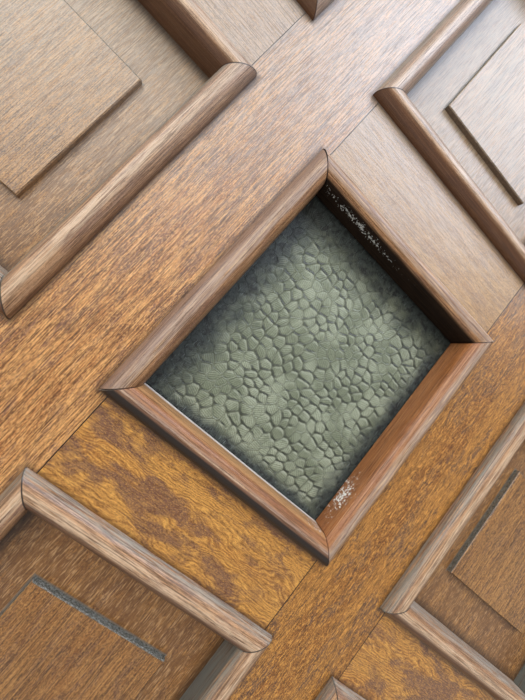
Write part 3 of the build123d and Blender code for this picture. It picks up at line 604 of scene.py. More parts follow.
    def shader(self, tree: Tree) -> dict[str, Any]:
        """Draw the board from its broad bands to its pores, then its age and its dust.

        Args:
            tree: The material's tree.

        Returns:
            The inputs of the Principled shader.
        """
        grain, tones = self.place(tree), self.tones
        broad = Layer(30, 420).draw(tree, grain, 0.0)
        bands = Layer(5.0, 300).draw(tree, grain, 2.6)
        cloud = Layer(7.5, 36, detail=5.0, rough=0.72, distort=0.3).draw(tree, grain, 4.1)
        fibres = Layer(0.55, self.reach, detail=2.0, rough=0.6).draw(tree, grain, 9.7)
        pits = Layer(0.5, 1.4, detail=1.0, rough=0.6).draw(tree, grain, 15.3)
        pores = Layer(0.6, 11.0, detail=1.0).draw(tree, grain, 19.1)
        pale = Layer(0.7, self.reach, detail=3.0, rough=0.66).draw(tree, grain, 23.0)
        colour = Stain(tones.light, 0.34, 0.66, 0.5).lay(tree, tones.body, broad)
        colour = Stain(tones.mauve, 0.48, 0.6, self.streak).lay(tree, colour, cloud)
        colour = self.figured(tree, grain, colour)
        colour = Stain(tones.light, 0.5, 0.62, self.fibre * 0.8).lay(tree, colour, pale)
        fibre = Stain(tones.deep, 0.48, 0.6, self.fibre)
        colour = fibre.lay(tree, colour, fibres)
        colour = Stain(tones.light, 0.46, 0.34, self.stipple).lay(tree, colour, pits)
        pit = Stain(tones.pore, 0.53, 0.68, self.stipple)
        colour = pit.lay(tree, colour, pits)
        colour = Stain(tones.pore, 0.57, 0.64, self.pores).lay(
            tree, colour, pores, Ramp(0.38, 0.56).cover(tree, bands))
        colour, matt = self.dust_and_painted_light(tree, self.aged_with_painted_light(tree, colour))
        height = add(tree, "Math", {0: pit.cover(tree, pits), 1: -1.0, 2: fibres},
                     operation="MULTIPLY_ADD")
        bump = add(tree, "Bump", {"Strength": 0.6, "Distance": 0.22 * MM, "Height": height})
        rough = add(tree, "Math", {0: fibre.cover(tree, fibres), 1: 0.12,
                                   2: self.roughness}, operation="MULTIPLY_ADD")
        rough = add(tree, "Math", {0: matt, 1: 0.35, 2: rough}, operation="MULTIPLY_ADD")
        varnish = add(tree, "Math", {0: matt, 1: -self.varnish, 2: self.varnish},
                      operation="MULTIPLY_ADD")
        return {"Base Color": colour, "Roughness": rough, "Specular IOR Level": 0.15,
                "Coat Weight": varnish, "Coat Roughness": 0.36, "Normal": bump}


@dataclass(frozen=True)
class LeafBoard(StainedOak):
    """A stile, muntin or rail of the leaf, with dirt in its joints, and dirt and painted shade
    along the mouldings.
    """

    joints: tuple[Joint, ...] = (Joint.CELL_SIDES,)

    def aged_with_painted_light(self, tree: Tree, colour: Socket) -> Socket:
        """Add the open joint lines, the painted sky reflection, and dirt with painted contact
        shade beside the mouldings.

        Args:
            tree: The material's tree.
            colour: The clean board's colour.

        Returns:
            The colour that shows.
        """
        grid, spot = self.grid, self.spot(tree)
        for joint in self.joints:
            if joint is Joint.CELL_SIDES:
                away = grid.from_centre(tree, spot, "x", grid.cell_w / 2)
            else:
                away = grid.past(tree, spot, 0 if joint is Joint.GRID_SIDES else 2)
            line = add(tree, "Math", {0: away}, operation="ABSOLUTE")
            colour = Stain("#120C09", 0.6 * MM, 0.2 * MM, 0.9).lay(tree, colour, line)
        # Painted reflection: the pale grey sky veil.
        colour = self.painted_sky_veil(tree, colour)
        # Dirt and painted contact shade at the mouldings' feet, on the street side.
        lap = 7 * MM
        near = grid.outside(tree, spot, lap, lap)
        return Stain("#2B1A10", 4.5 * MM, 0.0, 0.6).lay(tree, colour, near,
                                                        grid.street_side(tree, spot))


@dataclass(frozen=True)
class RaisedPanel(StainedOak):
    """A raised and fielded panel, with a rough margin, dirt and painted shade at the mouldings'
    feet, and a grey line along its field's top and left edges: dust, with a painted sky
    reflection on the left.
    """

    field_margin: tuple[float, float] = (43 * MM, 51 * MM)
    rough_tone: str = "#6F4824"
    hair_tone: str = "#C99E6E"

    def aged_with_painted_light(self, tree: Tree, colour: Socket) -> Socket:
        """Add the rough margin, the painted sky reflection, dirt and painted shade at the
        mouldings' feet, and the grey line of dust and painted sky reflection along the field's
        rims.

        Args:
            tree: The material's tree.
            colour: The clean panel's colour.

        Returns:
            The colour that shows.
        """
        grid, spot, grain = self.grid, self.spot(tree), self.place(tree)
        side, head = self.field_margin
        margin = grid.outside(tree, spot, -side, -head)
        outside = Ramp(0.0, 0.4 * MM).cover(tree, margin)
        cloud = Layer(9, 16, detail=4.0, rough=0.7).draw(tree, grain, 49.0)
        colour = Stain(self.rough_tone, 0.34, 0.58, 0.7).lay(tree, colour, cloud, outside)
        hairs = Layer(0.6, 7.0, detail=2.0, rough=0.6).draw(tree, grain, 51.0)
        colour = Stain(self.hair_tone, 0.54, 0.66, 0.75).lay(tree, colour, hairs, outside)
        # Painted reflection: the pale grey sky veil.
        colour = self.painted_sky_veil(tree, colour)
        # Dirt and painted shade on the margin at the mouldings' feet, strongest close to them.
        hidden = -12 * MM
        foot = grid.outside(tree, spot, hidden, hidden)
        colour = Stain("#24160D", -9 * MM, 0.5 * MM, 0.72).lay(tree, colour, foot)
        # A grey line along the field's top and left rims: dust, with a painted sky reflection on
        # the left.
        above = grid.from_centre(tree, spot, "z", grid.cell_h / 2 - head, signed=True)
        before = grid.from_centre(tree, spot, "-x", grid.cell_w / 2 - side, signed=True)
        ledge = add(tree, "Math", {0: above, 1: before}, operation="MAXIMUM")
        rim_dust_and_sky = Ramp(-0.5 * MM, 0.0).cover(tree, ledge)
        rim = Ramp(1.5 * MM, 0.8 * MM).cover(tree, margin, rim_dust_and_sky)
        return Stain("#6A6B65", -1.4 * MM, -0.6 * MM, 0.7).lay(tree, colour, margin, rim)


@dataclass(frozen=True)
class Speckle:
    """Crumbs of dust and web that stick to one stretch of a piece."""

    place: tuple[float, float, float]
    reach: tuple[float, float, float]
    grain: float
    share: float
    tone: str

    def lay(self, tree: Tree, colour: Socket, seed: float) -> Socket:
        """Lay the crumbs over a colour.

        Args:
            tree: The material's tree.
            colour: The colour below.
            seed: Shift that sets this stretch apart.

        Returns:
            The colour that shows.
        """
        spot = add(tree, "TexCoord", out="Object")
        away = add(tree, "VectorMath", {0: spot, 1: self.place}, operation="SUBTRACT")
        away = add(tree, "VectorMath", {0: away, 1: self.reach}, operation="DIVIDE")
        away = add(tree, "VectorMath", {0: away}, "Value", operation="LENGTH")
        crumbs = Layer(self.grain, self.grain, detail=4.0, rough=0.7).draw(tree, spot, seed)
        thinned = add(tree, "Math", {0: away, 1: -0.12, 2: crumbs},
                      operation="MULTIPLY_ADD")
        return Stain(self.tone, self.share, self.share + 0.04).lay(tree, colour, thinned)


@dataclass(frozen=True)
class RunMoulding(StainedOak):
    """A length of run moulding: pale on its crest from wear and a painted highlight, with dust
    and a painted sky reflection above, and painted shade below and at its feet.
    """

    def board(self, tree: Tree) -> Socket:
        """Across, up from the leaf's street face and along, in metres."""
        return add(tree, "Attribute", out="Vector", attribute_name="board")

    def place(self, tree: Tree) -> Socket:
        """Place in the length, each shifted by its own number."""
        cut = add(tree, "Attribute", out="Fac", attribute_name="cut")
        shift = add(tree, "TexWhiteNoise", {"W": cut}, "Color", noise_dimensions="1D")
        return add(tree, "VectorMath", {0: shift, 1: SHIFT, 2: self.board(tree)},
                   operation="MULTIPLY_ADD")

    def height(self, tree: Tree) -> Socket:
        """Height over the leaf's street face, in metres."""
        return add(tree, "SeparateXYZ", {0: self.board(tree)}, 1)

    def inside(self, tree: Tree, within: Socket | float = 1.0) -> Socket:
        """A mask of the wall that faces into the cell."""
        wall = -2 * MM
        away = self.grid.outside(tree, self.spot(tree), wall, wall)
        return Ramp(0.5 * MM, -0.5 * MM).cover(tree, away, within)

    def patchy(self, tree: Tree) -> Socket:
        """A broken, streaky mask for wear and dust."""
        streaks = Layer(1.6, 30, detail=4.0, rough=0.7).draw(tree, self.place(tree), 71.0)
        return Ramp(0.36, 0.56).cover(tree, streaks)

    def opened(self, tree: Tree, colour: Socket) -> Socket:
        """Draw the dark fibres that the weather has opened."""
        lines = Layer(0.7, 30, detail=3.0, rough=0.7).draw(tree, self.place(tree), 63.0)
        lines = Ramp(0.51, 0.6, 0.62).cover(tree, lines)
        return Stain("#4E301B", 0.0, 1.0).lay(tree, colour, lines)

    def aged_with_painted_light(self, tree: Tree, colour: Socket) -> Socket:
        """Add wear and a painted highlight on the crest, and dark lines at the mitres.

        Args:
            tree: The material's tree.
            colour: The clean moulding's colour.

        Returns:
            The colour that shows.
        """
        grid, spot = self.grid, self.spot(tree)
        broken = Layer(1.1, 20, detail=3.0, rough=0.7).draw(tree, self.place(tree), 61.0)
        wear_and_sheen = Ramp(0.35, 0.6).cover(tree, broken)
        # A pale crest: wear, with a painted highlight along it.
        colour = Stain("#E3C4A2", 8.9 * MM, 9.9 * MM, 0.8).lay(tree, colour,
                                                               self.height(tree), wear_and_sheen)
        across = grid.from_centre(tree, spot, "x", grid.cell_w / 2)
        high = grid.from_centre(tree, spot, "z", grid.cell_h / 2)
        mitre = add(tree, "Math", {0: across, 1: high}, operation="SUBTRACT")
        mitre = add(tree, "Math", {0: mitre}, operation="ABSOLUTE")
        return Stain("#120B07", 0.9 * MM, 0.4 * MM, 0.9).lay(tree, colour, mitre)

    def dust_and_painted_light(self, tree: Tree, colour: Socket) -> tuple[Socket, Socket]:
        """Add dust and a painted sky reflection on the upper slopes, grey dust and a painted sky
        reflection on the left, and painted shade below and on the low faces that lean right.

        Args:
            tree: The material's tree.
            colour: The colour below.

        Returns:
            The colour that shows, and how far dust hides the varnish.
        """
        left, up = self.facing(tree, 0), self.facing(tree, 2)
        patchy = self.patchy(tree)
        foot = Ramp(6.5 * MM, 1.0 * MM).cover(tree, self.height(tree))
        dust = Stain("#B5B8AE", 0.5, 0.95, 0.65)
        # Painted reflection: the pale grey sky veil on the faces that lean up.
        lit = Ramp(-0.2, 0.1, 0.7).cover(tree, up)
        colour = add(tree, "Mix", {0: lit, 6: colour, 7: self.painted_sky_veil(tree, colour)}, 2,
                     data_type="RGBA")
        # Grey on the faces that lean left: dust and a painted sky reflection.
        colour = Stain("#7D827B", -0.35, -0.85, 0.75).lay(tree, colour, left, patchy)
        colour = dust.lay(tree, colour, up, patchy)
        # Painted shade on the faces that lean down.
        colour = Stain("#4F2B12", -0.15, -0.6, 0.8).lay(tree, colour, up)
        # Darker grey on the inner wall where it leans left: dust and a painted sky reflection.
        wall = self.inside(tree, foot)
        colour = Stain("#565F5D", -0.4, -0.9, 0.8).lay(tree, colour, left, wall)
        # Painted shade on the low faces that lean right.
        colour = Stain("#3A2415", 0.3, 0.8, 0.45).lay(tree, colour, left, foot)
        return self.opened(tree, colour), dust.cover(tree, up)


@dataclass(frozen=True)
class WindowMoulding(RunMoulding):
    """A length of the window's moulding: bare wood on the crest, painted highlights on faces
    turned up, and painted shade on faces turned down, near-black with dirt on the inner wall.
    """

    # How dark the near-black painted shade, with dirt, is on the inner wall that faces down.
    shade_and_grime: float = 0.95
    tilt: float = 0.0
    speckles: tuple[Speckle, ...] = ()

    def dust_and_painted_light(self, tree: Tree, colour: Socket) -> tuple[Socket, Socket]:
        """Add bare wood where the piece is touched, painted highlights on the faces turned up,
        and painted shade on the faces turned down, near-black with dirt on the inner wall.

        Args:
            tree: The material's tree.
            colour: The colour below.

        Returns:
            The colour that shows, and how far the near-black painted shade and dirt hide the
            varnish.
        """
        left, height, inside = self.facing(tree, 0), self.height(tree), self.inside(tree)
        up = add(tree, "Math", {0: self.facing(tree, 2), 1: self.tilt}, operation="SUBTRACT")
        outside = add(tree, "Math", {0: 1.0, 1: inside}, operation="SUBTRACT")
        crest = Ramp(9.0 * MM, 9.9 * MM).cover(tree, height, self.patchy(tree))
        colour = Stain("#9A8379", 0.0, 1.0, 0.65).lay(tree, colour, crest)
        colour = Stain("#8B7A72", -0.05, -0.6, 0.6).lay(tree, colour, left, outside)
        # Painted highlight on the outer faces turned up.
        colour = Stain("#E0CCB8", 0.0, 0.5, 0.6).lay(tree, colour, up, outside)
        if self.tilt > 0:
            colour = Stain("#9C5D27", -0.26, 0.05, 0.55).lay(tree, colour, up, inside)
            # Painted highlight on the inner faces turned up, whitest deep down the wall at the
            # glass.
            lit = Ramp(0.4, 0.6).cover(tree, up, inside)
            colour = Stain("#CF9F6C", 0.0, 1.0, 0.6).lay(tree, colour, lit)
            colour = Stain("#FFF6EA", -7 * MM, -9.5 * MM, 0.9).lay(tree, colour, height, lit)
        colour = Stain("#A35A22", -0.1, -0.5, 0.42).lay(tree, colour, left, inside)
        # Painted shade on the outer faces turned down.
        colour = Stain("#6F3F1D", 0.0, -0.35, 0.7).lay(tree, colour, up, outside)
        colour = self.opened(tree, colour)
        # Near-black painted shade on the outer faces turned down, below the crest.
        foot = Ramp(10.05 * MM, 9.6 * MM).cover(tree, height, outside)
        colour = Stain("#1F1A17", -0.16, -0.4, 0.95).lay(tree, colour, up, foot)
        # Near-black painted shade, with dirt, on the inner wall that faces down.
        wall = Ramp(8.8 * MM, 6.0 * MM).cover(tree, height, inside)
        shade_and_grime = Stain("#040303", -0.2, -0.55, self.shade_and_grime)
        colour = shade_and_grime.lay(tree, colour, up, wall)
        for index, speckle in enumerate(self.speckles):
            colour = speckle.lay(tree, colour, 80.0 + 7 * index)
        return colour, shade_and_grime.cover(tree, up, wall)


@dataclass(frozen=True)
class AgedBrass(Finish):
    """Cast and brushed brass, dulled by hands and weather: yellow brown with darker patches.

    Brush lines are under 0.1 mm apart. They are drawn at 0.5 mm, as fine as shows.
    """

    name: str = "brushed_aged_brass"
    bright: str = "#B7995E"
    dull: str = "#93774A"

    def shader(self, tree: Tree) -> dict[str, Any]:
        """Draw the dull patches and the brush lines."""
        spot = self.spot(tree)
        patch = Layer(9, 9, detail=5.0, rough=0.6).draw(tree, spot, 0.0)
        lines = Layer(0.5, 18).draw(tree, spot, 3.0)
        rough = add(tree, "MapRange", {0: patch, 1: 0.3, 2: 0.7, 3: 0.34, 4: 0.46})
        bump = add(tree, "Bump", {"Strength": 0.12, "Distance": 0.05 * MM, "Height": lines})
        return {"Base Color": Stain(self.dull, 0.38, 0.7).lay(tree, self.bright, patch),
                "Metallic": 1.0, "Roughness": rough, "Normal": bump}


@dataclass(frozen=True)
class PlatedSteel(Finish):
    """Zinc-plated pressed steel, brushed along its length: cool grey with faint streaks."""

    name: str = "zinc_plated_steel"
    base: str = "#A9ABAC"
    streak: str = "#85888A"

    def shader(self, tree: Tree) -> dict[str, Any]:
        """Draw the streaks."""
        lines = Layer(0.6, 25, detail=3.0).draw(tree, self.spot(tree), 0.0)
        rough = add(tree, "MapRange", {0: lines, 1: 0.3, 2: 0.7, 3: 0.28, 4: 0.42})
        return {"Base Color": Stain(self.streak, 0.3, 0.7).lay(tree, self.base, lines),
                "Metallic": 1.0, "Roughness": rough}


@dataclass(frozen=True)
class Rubber(Finish):
    """Extruded seal or moulded packer: near-black and matt, with a bloom of dust."""

    base: str
    bloom: str

    def shader(self, tree: Tree) -> dict[str, Any]:
        """Draw the bloom."""
        cloud = Layer(3, 3, detail=4.0, rough=0.6).draw(tree, self.spot(tree), 0.0)
        rough = add(tree, "MapRange", {0: cloud, 1: 0.3, 2: 0.7, 3: 0.62, 4: 0.85})
        return {"Base Color": Stain(self.bloom, 0.45, 0.75).lay(tree, self.base, cloud),
                "Roughness": rough}


@dataclass(frozen=True)
class PatternedGlass(Finish):
    """Rolled cathedral glass: sage green, pebbled, with fine ribs pressed in each pebble.

    Years of dust sit in the grooves between the pebbles, with painted shade and highlights, and
    in a dark band along the putty that is also a painted shadow of the mouldings.
    Real ribs are about 0.6 mm apart. They are drawn at 1.5 mm, as fine as the render shows.
    """

    name: str = "rolled_patterned_glass"
    body: str = "#888F75"
    pale: str = "#B4BA9F"
    groove: str = "#40452F"
    band: str = "#2B3332"
    black: str = "#0F1313"
    rib_pitch: float = 1.5 * MM
    rib_height: float = 0.05 * MM

    def shader(self, tree: Tree) -> dict[str, Any]:
        """Draw the ribs, the grooves' dirt with painted shade and highlights, painted shade and
        highlight by slope, and the band of dirt and painted shadow with its smears and
        scratches.

        Args:
            tree: The material's tree.

        Returns:
            The inputs of the Principled shader.
        """
        spot = self.spot(tree)
        depth, phase, clear = (add(tree, "Attribute", out="Fac", attribute_name=name)
                               for name in ("groove", "rib", "clear"))
        wave = add(tree, "Math", {0: phase, 1: 2 * math.pi / self.rib_pitch},
                   operation="MULTIPLY")
        wave = add(tree, "Math", {0: wave}, operation="SINE")
        cloud = Layer(20, 20, detail=4.0).draw(tree, spot, 0.0)
        colour = Stain(self.pale, 0.38, 0.66).lay(tree, self.body, cloud)
        grit = Layer(0.9, 0.9, detail=3.0, rough=0.7).draw(tree, spot, 13.0)
        colour = Stain(self.groove, 0.47, 0.66, 0.6).lay(tree, colour, grit)
        colour = Stain(self.groove, 0.0, 1.0, 0.45).lay(tree, colour, wave)
        # Along each groove: a wide painted shade, a painted highlight on the pebble's rim, and a
        # dark line of dust and painted shade.
        for stain in (Stain(self.groove, 2.2 * MM, 0.7 * MM, 0.25),
                      Stain(self.pale, 1.5 * MM, 0.7 * MM, 0.25),
                      Stain(self.groove, 0.75 * MM, 0.0, 0.75)):
            colour = stain.lay(tree, colour, depth)
        # Painted shade on the faces that lean down and a painted highlight on those that lean
        # up.
        lean = self.facing(tree, 2)
        colour = Stain("#262A1B", -0.03, -0.28, 0.92).lay(tree, colour, lean)
        colour = Stain("#D2D7BF", 0.05, 0.34, 0.6).lay(tree, colour, lean)
        # The band along the putty: dirt and a painted shadow of the mouldings, with black
        # smudges of dirt.
        smear = Layer(16, 16, detail=5.0, rough=0.62).draw(tree, spot, 5.0)
        clear = add(tree, "Math", {0: smear, 1: -1.3, 2: clear}, operation="MULTIPLY_ADD")
        colour = Stain(self.band, 0.5, -0.5, 0.97).lay(tree, colour, clear)
        smut = Layer(5, 5, detail=6.0, rough=0.7).draw(tree, spot, 9.0)
        colour = Stain(self.black, 0.48, 0.58, 0.95).lay(
            tree, colour, smut, Ramp(0.0, -0.4).cover(tree, clear))
        scratch = Layer(0.5, 6.0, detail=2.0, rough=0.6).draw(tree, spot, 21.0)
        colour = Stain("#7F8A87", 0.62, 0.7, 0.6).lay(
            tree, colour, scratch, Ramp(0.5, -0.2).cover(tree, clear))
        rough = add(tree, "MapRange", {0: clear, 1: 0.5, 2: -0.3, 3: 0.42, 4: 0.62})
        dip = Ramp(1.5 * MM, 0.0, 0.9 * MM).cover(tree, depth)
        height = add(tree, "Math", {0: wave, 1: self.rib_height, 2: dip},
                     operation="MULTIPLY_ADD")
        bump = add(tree, "Bump", {"Strength": 0.8, "Distance": 1.0, "Height": height})
        return {"Base Color": colour, "Roughness": rough, "IOR": 1.52,
                "Transmission Weight": 0.2, "Normal": bump}


@dataclass(frozen=True)
class Section:
    """Profile of a bolection moulding: across from its outer edge, up from the leaf's face."""

    depth: float
    width: float = 19 * MM
    lap: float = 7 * MM
    proud: float = 10 * MM
    crest: float = 9 * MM
    foot: float = 1.2 * MM
    shoulder: tuple[float, float] = (18 * MM, 2.5 * MM)
    arc_steps: int = 12

    def arc(self, bm: bmesh.types.BMesh, top: bmesh.types.BMVert,
            end: tuple[float, float]) -> bmesh.types.BMVert:
        """Sweep the crest down to a point, on an arc that leaves it level.

        Args:
            bm: The mesh.
            top: The crest's vertex.
            end: The point, across and up.

        Returns:
            The arc's last vertex.
        """
        across, drop = end[0] - self.crest, self.proud - end[1]
        radius = (across ** 2 + drop ** 2) / (2 * drop)
        angle = math.atan2(abs(across), radius - drop) * math.copysign(1, -across)
        centre = (0.0, radius - self.proud, self.crest)
        swept = bmesh.ops.spin(bm, geom=[top], cent=centre, axis=(1, 0, 0), angle=angle,
                               steps=self.arc_steps, use_merge=False)
        return next(v for v in swept["geom_last"] if isinstance(v, bmesh.types.BMVert))

    def outline(self, bm: bmesh.types.BMesh) -> None:
        """Draw the closed outline at X 0.

        Args:
            bm: The mesh that gets it.
        """
        top = bm.verts.new((0.0, -self.proud, self.crest))
        foot = self.arc(bm, top, (0.0, self.foot))
        chain = [self.arc(bm, top, self.shoulder)]
        for across, up in ((self.width, -self.depth), (self.lap, -self.depth),
                           (self.lap, 0.0), (0.0, 0.0)):
            chain.append(bm.verts.new((0.0, -up, across)))
        chain.append(foot)
        for one, two in zip(chain, chain[1:]):
            bm.edges.new((one, two))


@dataclass(frozen=True)
class MouldingSet:
    """Four mitred lengths of moulding round each of some openings."""

    grid: DoorGrid
    section: Section
    window: bool = False
    step: float = 9 * MM
    gape: float = 0.0
    seed: float = 0.0
    mitre_gap: float = 0.25 * MM
    waves: float = 31 * MM
    wander: float = 0.16 * MM

    def length(self, long: float, gape: float = 0.0) -> bpy.types.Mesh:
        """Cut one length along X, with its outer edge at Z 0 and both ends mitred.

        Args:
            long: Length of the outer edge.
            gape: How far each mitre gapes at its outer corner.

        Returns:
            The mesh, with its place in the board as an attribute.
        """
        bm = bmesh.new()
        self.section.outline(bm)
        steps = max(2, round(long / self.step))
        bmesh.ops.spin(bm, geom=bm.verts[:] + bm.edges[:], cent=(0, 0, 0), axis=(1, 0, 0),
                       angle=0.0, dvec=(long / steps, 0, 0), steps=steps, use_merge=False)
        lean = 1 - gape / self.section.width
        for end, turn in ((0.0, -1), (long, 1)):
            edge = end - turn * (self.mitre_gap / 2 + gape)
            bmesh.ops.bisect_plane(bm, geom=bm.verts[:] + bm.edges[:] + bm.faces[:],
                                   dist=1e-7, plane_co=(edge, 0, 0),
                                   plane_no=(turn, 0, lean), clear_outer=True)
        rim = [e for e in bm.edges if e.is_boundary]
        bmesh.ops.holes_fill(bm, edges=rim, sides=0)
        bmesh.ops.recalc_face_normals(bm, faces=bm.faces[:])
        board = bm.verts.layers.float_vector.new("board")
        bm.verts.layers.float.new("cut")
        for vert in bm.verts:
            vert[board] = (vert.co.z, -vert.co.y, vert.co.x)
        mesh = bpy.data.meshes.new("length")
        bm.to_mesh(mesh)
        bm.free()
        return mesh

    def build(self, name: str, upright: bool) -> Object:
        """Place the uprights or the level lengths at the cells.

        Args:
            name: The piece's name.
            upright: Whether these are the two uprights of each cell.

        Returns:
            The piece.
        """
        grid, out = self.grid, self.section.lap
        wide, high = grid.cell_w + 2 * out, grid.cell_h + 2 * out
        if upright:
            places = [((-out, high - out), math.pi / 2, self.length(high, self.gape)),
                      ((wide - out, -out), -math.pi / 2, self.length(high))]
        else:
            mesh = self.length(wide)
            places = [((-out, -out), 0.0, mesh), ((wide - out, high - out), math.pi, mesh)]
        bm = bmesh.new()
        count = self.seed
        for corner in grid.cells(self.window):
            for (x, z), angle, mesh in places:
                start = len(bm.verts)
                bm.from_mesh(mesh)
                bm.verts.ensure_lookup_table()
                fresh = bm.verts[start:]
                at = Matrix.Translation((corner.x + x, grid.street, corner.z + z))
                bmesh.ops.transform(bm, matrix=at @ Matrix.Rotation(angle, 4, "Y"),
                                    verts=fresh)
                cut = bm.verts.layers.float["cut"]
                count += 1
                for vert in fresh:
                    vert[cut] = count
        for vert in bm.verts:
            vert.co += noise.noise_vector(vert.co / self.waves) * self.wander
        return new_piece(name, bm)


@dataclass(frozen=True)
class Pane:
    """The patterned pane: rounded pebbles in loose rows, each ribbed its own way."""

    pebble: tuple[float, float] = (9.6 * MM, 7.0 * MM)
    loose: float = 0.6
    bends: tuple[tuple[float, float], ...] = ((38 * MM, 5 * MM), (4.5 * MM, 0.7 * MM))
    rounding: float = 0.6 * MM
    relief: float = 0.7 * MM
    slope: float = 2.1 * MM
    patch: float = 13 * MM
    step: float = 0.67 * MM
    covered: float = 9 * MM
    # How wide the smooth band is on the left, on the right, below and above.
    smooth: tuple[float, float, float, float] = (32 * MM, 18 * MM, 12 * MM, 34 * MM)

    def middles(self, reach: float) -> kdtree.KDTree:
        """Scatter the pebbles' middles in loose, staggered rows.

        Args:
            reach: Half the side of the square that they fill.

        Returns:
            The middles, ready to search.
        """
        wide, tall = self.pebble
        across, up = round(reach / wide), round(reach / tall)
        places = [(i + 0.5 * (j % 2), j) for j in range(-up, up + 1)
                  for i in range(-across, across + 1)]
        tree = kdtree.KDTree(len(places))
        for index, (i, j) in enumerate(places):
            shift = noise.cell_vector(Vector((2 * i + 0.5, j + 0.5, 0.5))) * self.loose
            tree.insert(Vector(((i + shift.x) * wide, 0.0, (j + shift.y) * tall)), index)
        tree.balance()
        return tree

    def edge(self, spot: Vector, middles: kdtree.KDTree) -> tuple[float, int]:
        """Find the pebble at a point.

        Args:
            spot: The point, from the pane's middle.
            middles: The pebbles' middles.

        Returns:
            How far the point lies inside the pebble's rounded edge, and the pebble's number.
        """
        spot = spot + sum((noise.noise_vector(spot / scale) * size
                           for scale, size in self.bends), Vector())
        turned = Vector((spot.x + spot.z, 0.0, spot.z - spot.x)) / math.sqrt(2)
        (own, index, short), *others = middles.find_n(turned, 3)
        sides = [(far ** 2 - short ** 2) / (2 * (other - own).length)
                 for other, _, far in others]
        total = sum(math.exp(-side / self.rounding) for side in sides)
        return -self.rounding * math.log(total), index

    def clear(self, spot: Vector, low: Vector, high: Vector) -> float:
        """How far a point lies from the smooth band along the pane's edges, which is dirty and
        painted with the mouldings' shadow.

        Args:
            spot: The point.
            low: The pane's lowest corner.
            high: The pane's highest corner.

        Returns:
            0 at the mouldings, 1 and more where the pattern is full.
        """
        distances = (spot.x - low.x, high.x - spot.x, spot.z - low.z, high.z - spot.z)
        reach = [max(0.0, (distance - self.covered) / band)
                 for distance, band in zip(distances, self.smooth)]
        # The dirt and the painted shadow are thickest in the upper left corner.
        return min(reach) * min(1.0, 0.4 + (reach[0] + reach[3]) * 0.3)

    def build(self) -> Object:
        """Model the pane with its relief on the street side.

        Returns:
            The piece, with its grooves and ribs as attributes.
        """
        low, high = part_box("window_glass")
        size, middle = high - low, (low + high) / 2
        bm = bmesh.new()
        bmesh.ops.create_grid(bm, x_segments=round(size.x / self.step),
                              y_segments=round(size.z / self.step), size=0.5)
        flat = (Matrix.Translation((middle.x, low.y, middle.z))
                @ Matrix.Rotation(math.pi / 2, 4, "X")
                @ Matrix.Diagonal((size.x, size.z, 1.0, 1.0)))
        bmesh.ops.transform(bm, matrix=flat, verts=bm.verts)
        groove, rib, clear = (bm.verts.layers.float.new(name)
                              for name in ("groove", "rib", "clear"))
        middles = self.middles(size.length / 2 + self.covered)
        for vert in bm.verts:
            edge, index = self.edge(vert.co - middle, middles)
            vert[clear] = self.clear(vert.co, low, high)
            fade = clamp(noise.noise(vert.co / self.patch) * 1.7 + 0.9, 0.4)
            shown = clamp(vert[clear] * 2.0 - 0.5)
            vert[groove] = edge + (1 - fade) * MM + (1 - shown) * 3 * MM
            turn = noise.cell(Vector((index * 1.7, 0.5, 0.5))) * math.pi
            vert[rib] = vert.co.x * math.cos(turn) + vert.co.z * math.sin(turn)
            vert.co.y += self.relief * clamp(1 - edge / self.slope) ** 2 * fade * shown
        rim = [e for e in bm.edges if e.is_boundary]
        sides = bmesh.ops.extrude_edge_only(bm, edges=rim)
        for vert in (v for v in sides["geom"] if isinstance(v, bmesh.types.BMVert)):
            vert.co.y = high.y
            # The back is plain and clean: far from any groove and from the band.
            vert[groove] = self.pebble[0]
            vert[clear] = 1.5
        bmesh.ops.holes_fill(bm, edges=[e for e in bm.edges if e.is_boundary], sides=0)
        bmesh.ops.recalc_face_normals(bm, faces=bm.faces[:])
        return new_piece("patterned_pane", bm)


def seen_ray(tree: Tree) -> Socket:
    """Whether the camera, a reflection or a view through glass looks here."""
    seen = add(tree, "LightPath", out="Is Camera Ray")
    for ray in ("Is Transmission Ray", "Is Glossy Ray"):
        seen = add(tree, "Math", {0: seen, 1: add(tree, "LightPath", out=ray)},
                   operation="MAXIMUM")
    return seen


@dataclass(frozen=True)
class PaleFloor(Finish):
    """Matt painted floor: plain, pale, and nearly as bright as the backdrop behind it."""

    name: str = "matt_pale_floor"
    glow: float = 0.8

    def surface(self, tree: Tree) -> Socket:
        """Mix the paint, which takes shadows, with the backdrop's brightness."""
        cloud = add(tree, "TexNoise", {"Vector": self.spot(tree), "Scale": 2.0})
        tone = add(tree, "Mix", {0: cloud, 6: linear(PALE), 7: linear("#E2E0DC")}, 2,
                   data_type="RGBA")
        matt = add(tree, "BsdfPrincipled", {"Base Color": tone, "Roughness": 0.9})
        plain = add(tree, "Emission", {0: linear(PALE), 1: 1.0})
        share = add(tree, "Math", {0: seen_ray(tree), 1: self.glow}, operation="MULTIPLY")
        return add(tree, "MixShader", {0: share, 1: matt, 2: plain})


@dataclass(frozen=True)
class Softbox:
    """A soft lamp: its place, its width and height, and how bright its face is, 1 for white."""

    name: str
    place: tuple[float, float, float]
    size: tuple[float, float]
    radiance: float
    tint: str

    def hang(self, aim: Vector) -> None:
        """Hang the lamp.

        Args:
            aim: The point that it faces.
        """
        light = bpy.data.lights.new(self.name, "AREA")
        light.shape = "RECTANGLE"
        light.size, light.size_y = self.size
        light.energy = self.radiance * math.pi * self.size[0] * self.size[1]
        light.color = linear(self.tint)[:3]
        obj = bpy.data.objects.new(self.name, light)
        obj.location = self.place
        obj.rotation_euler = (aim - Vector(self.place)).to_track_quat("-Z", "Y").to_euler()
        bpy.context.scene.collection.objects.link(obj)


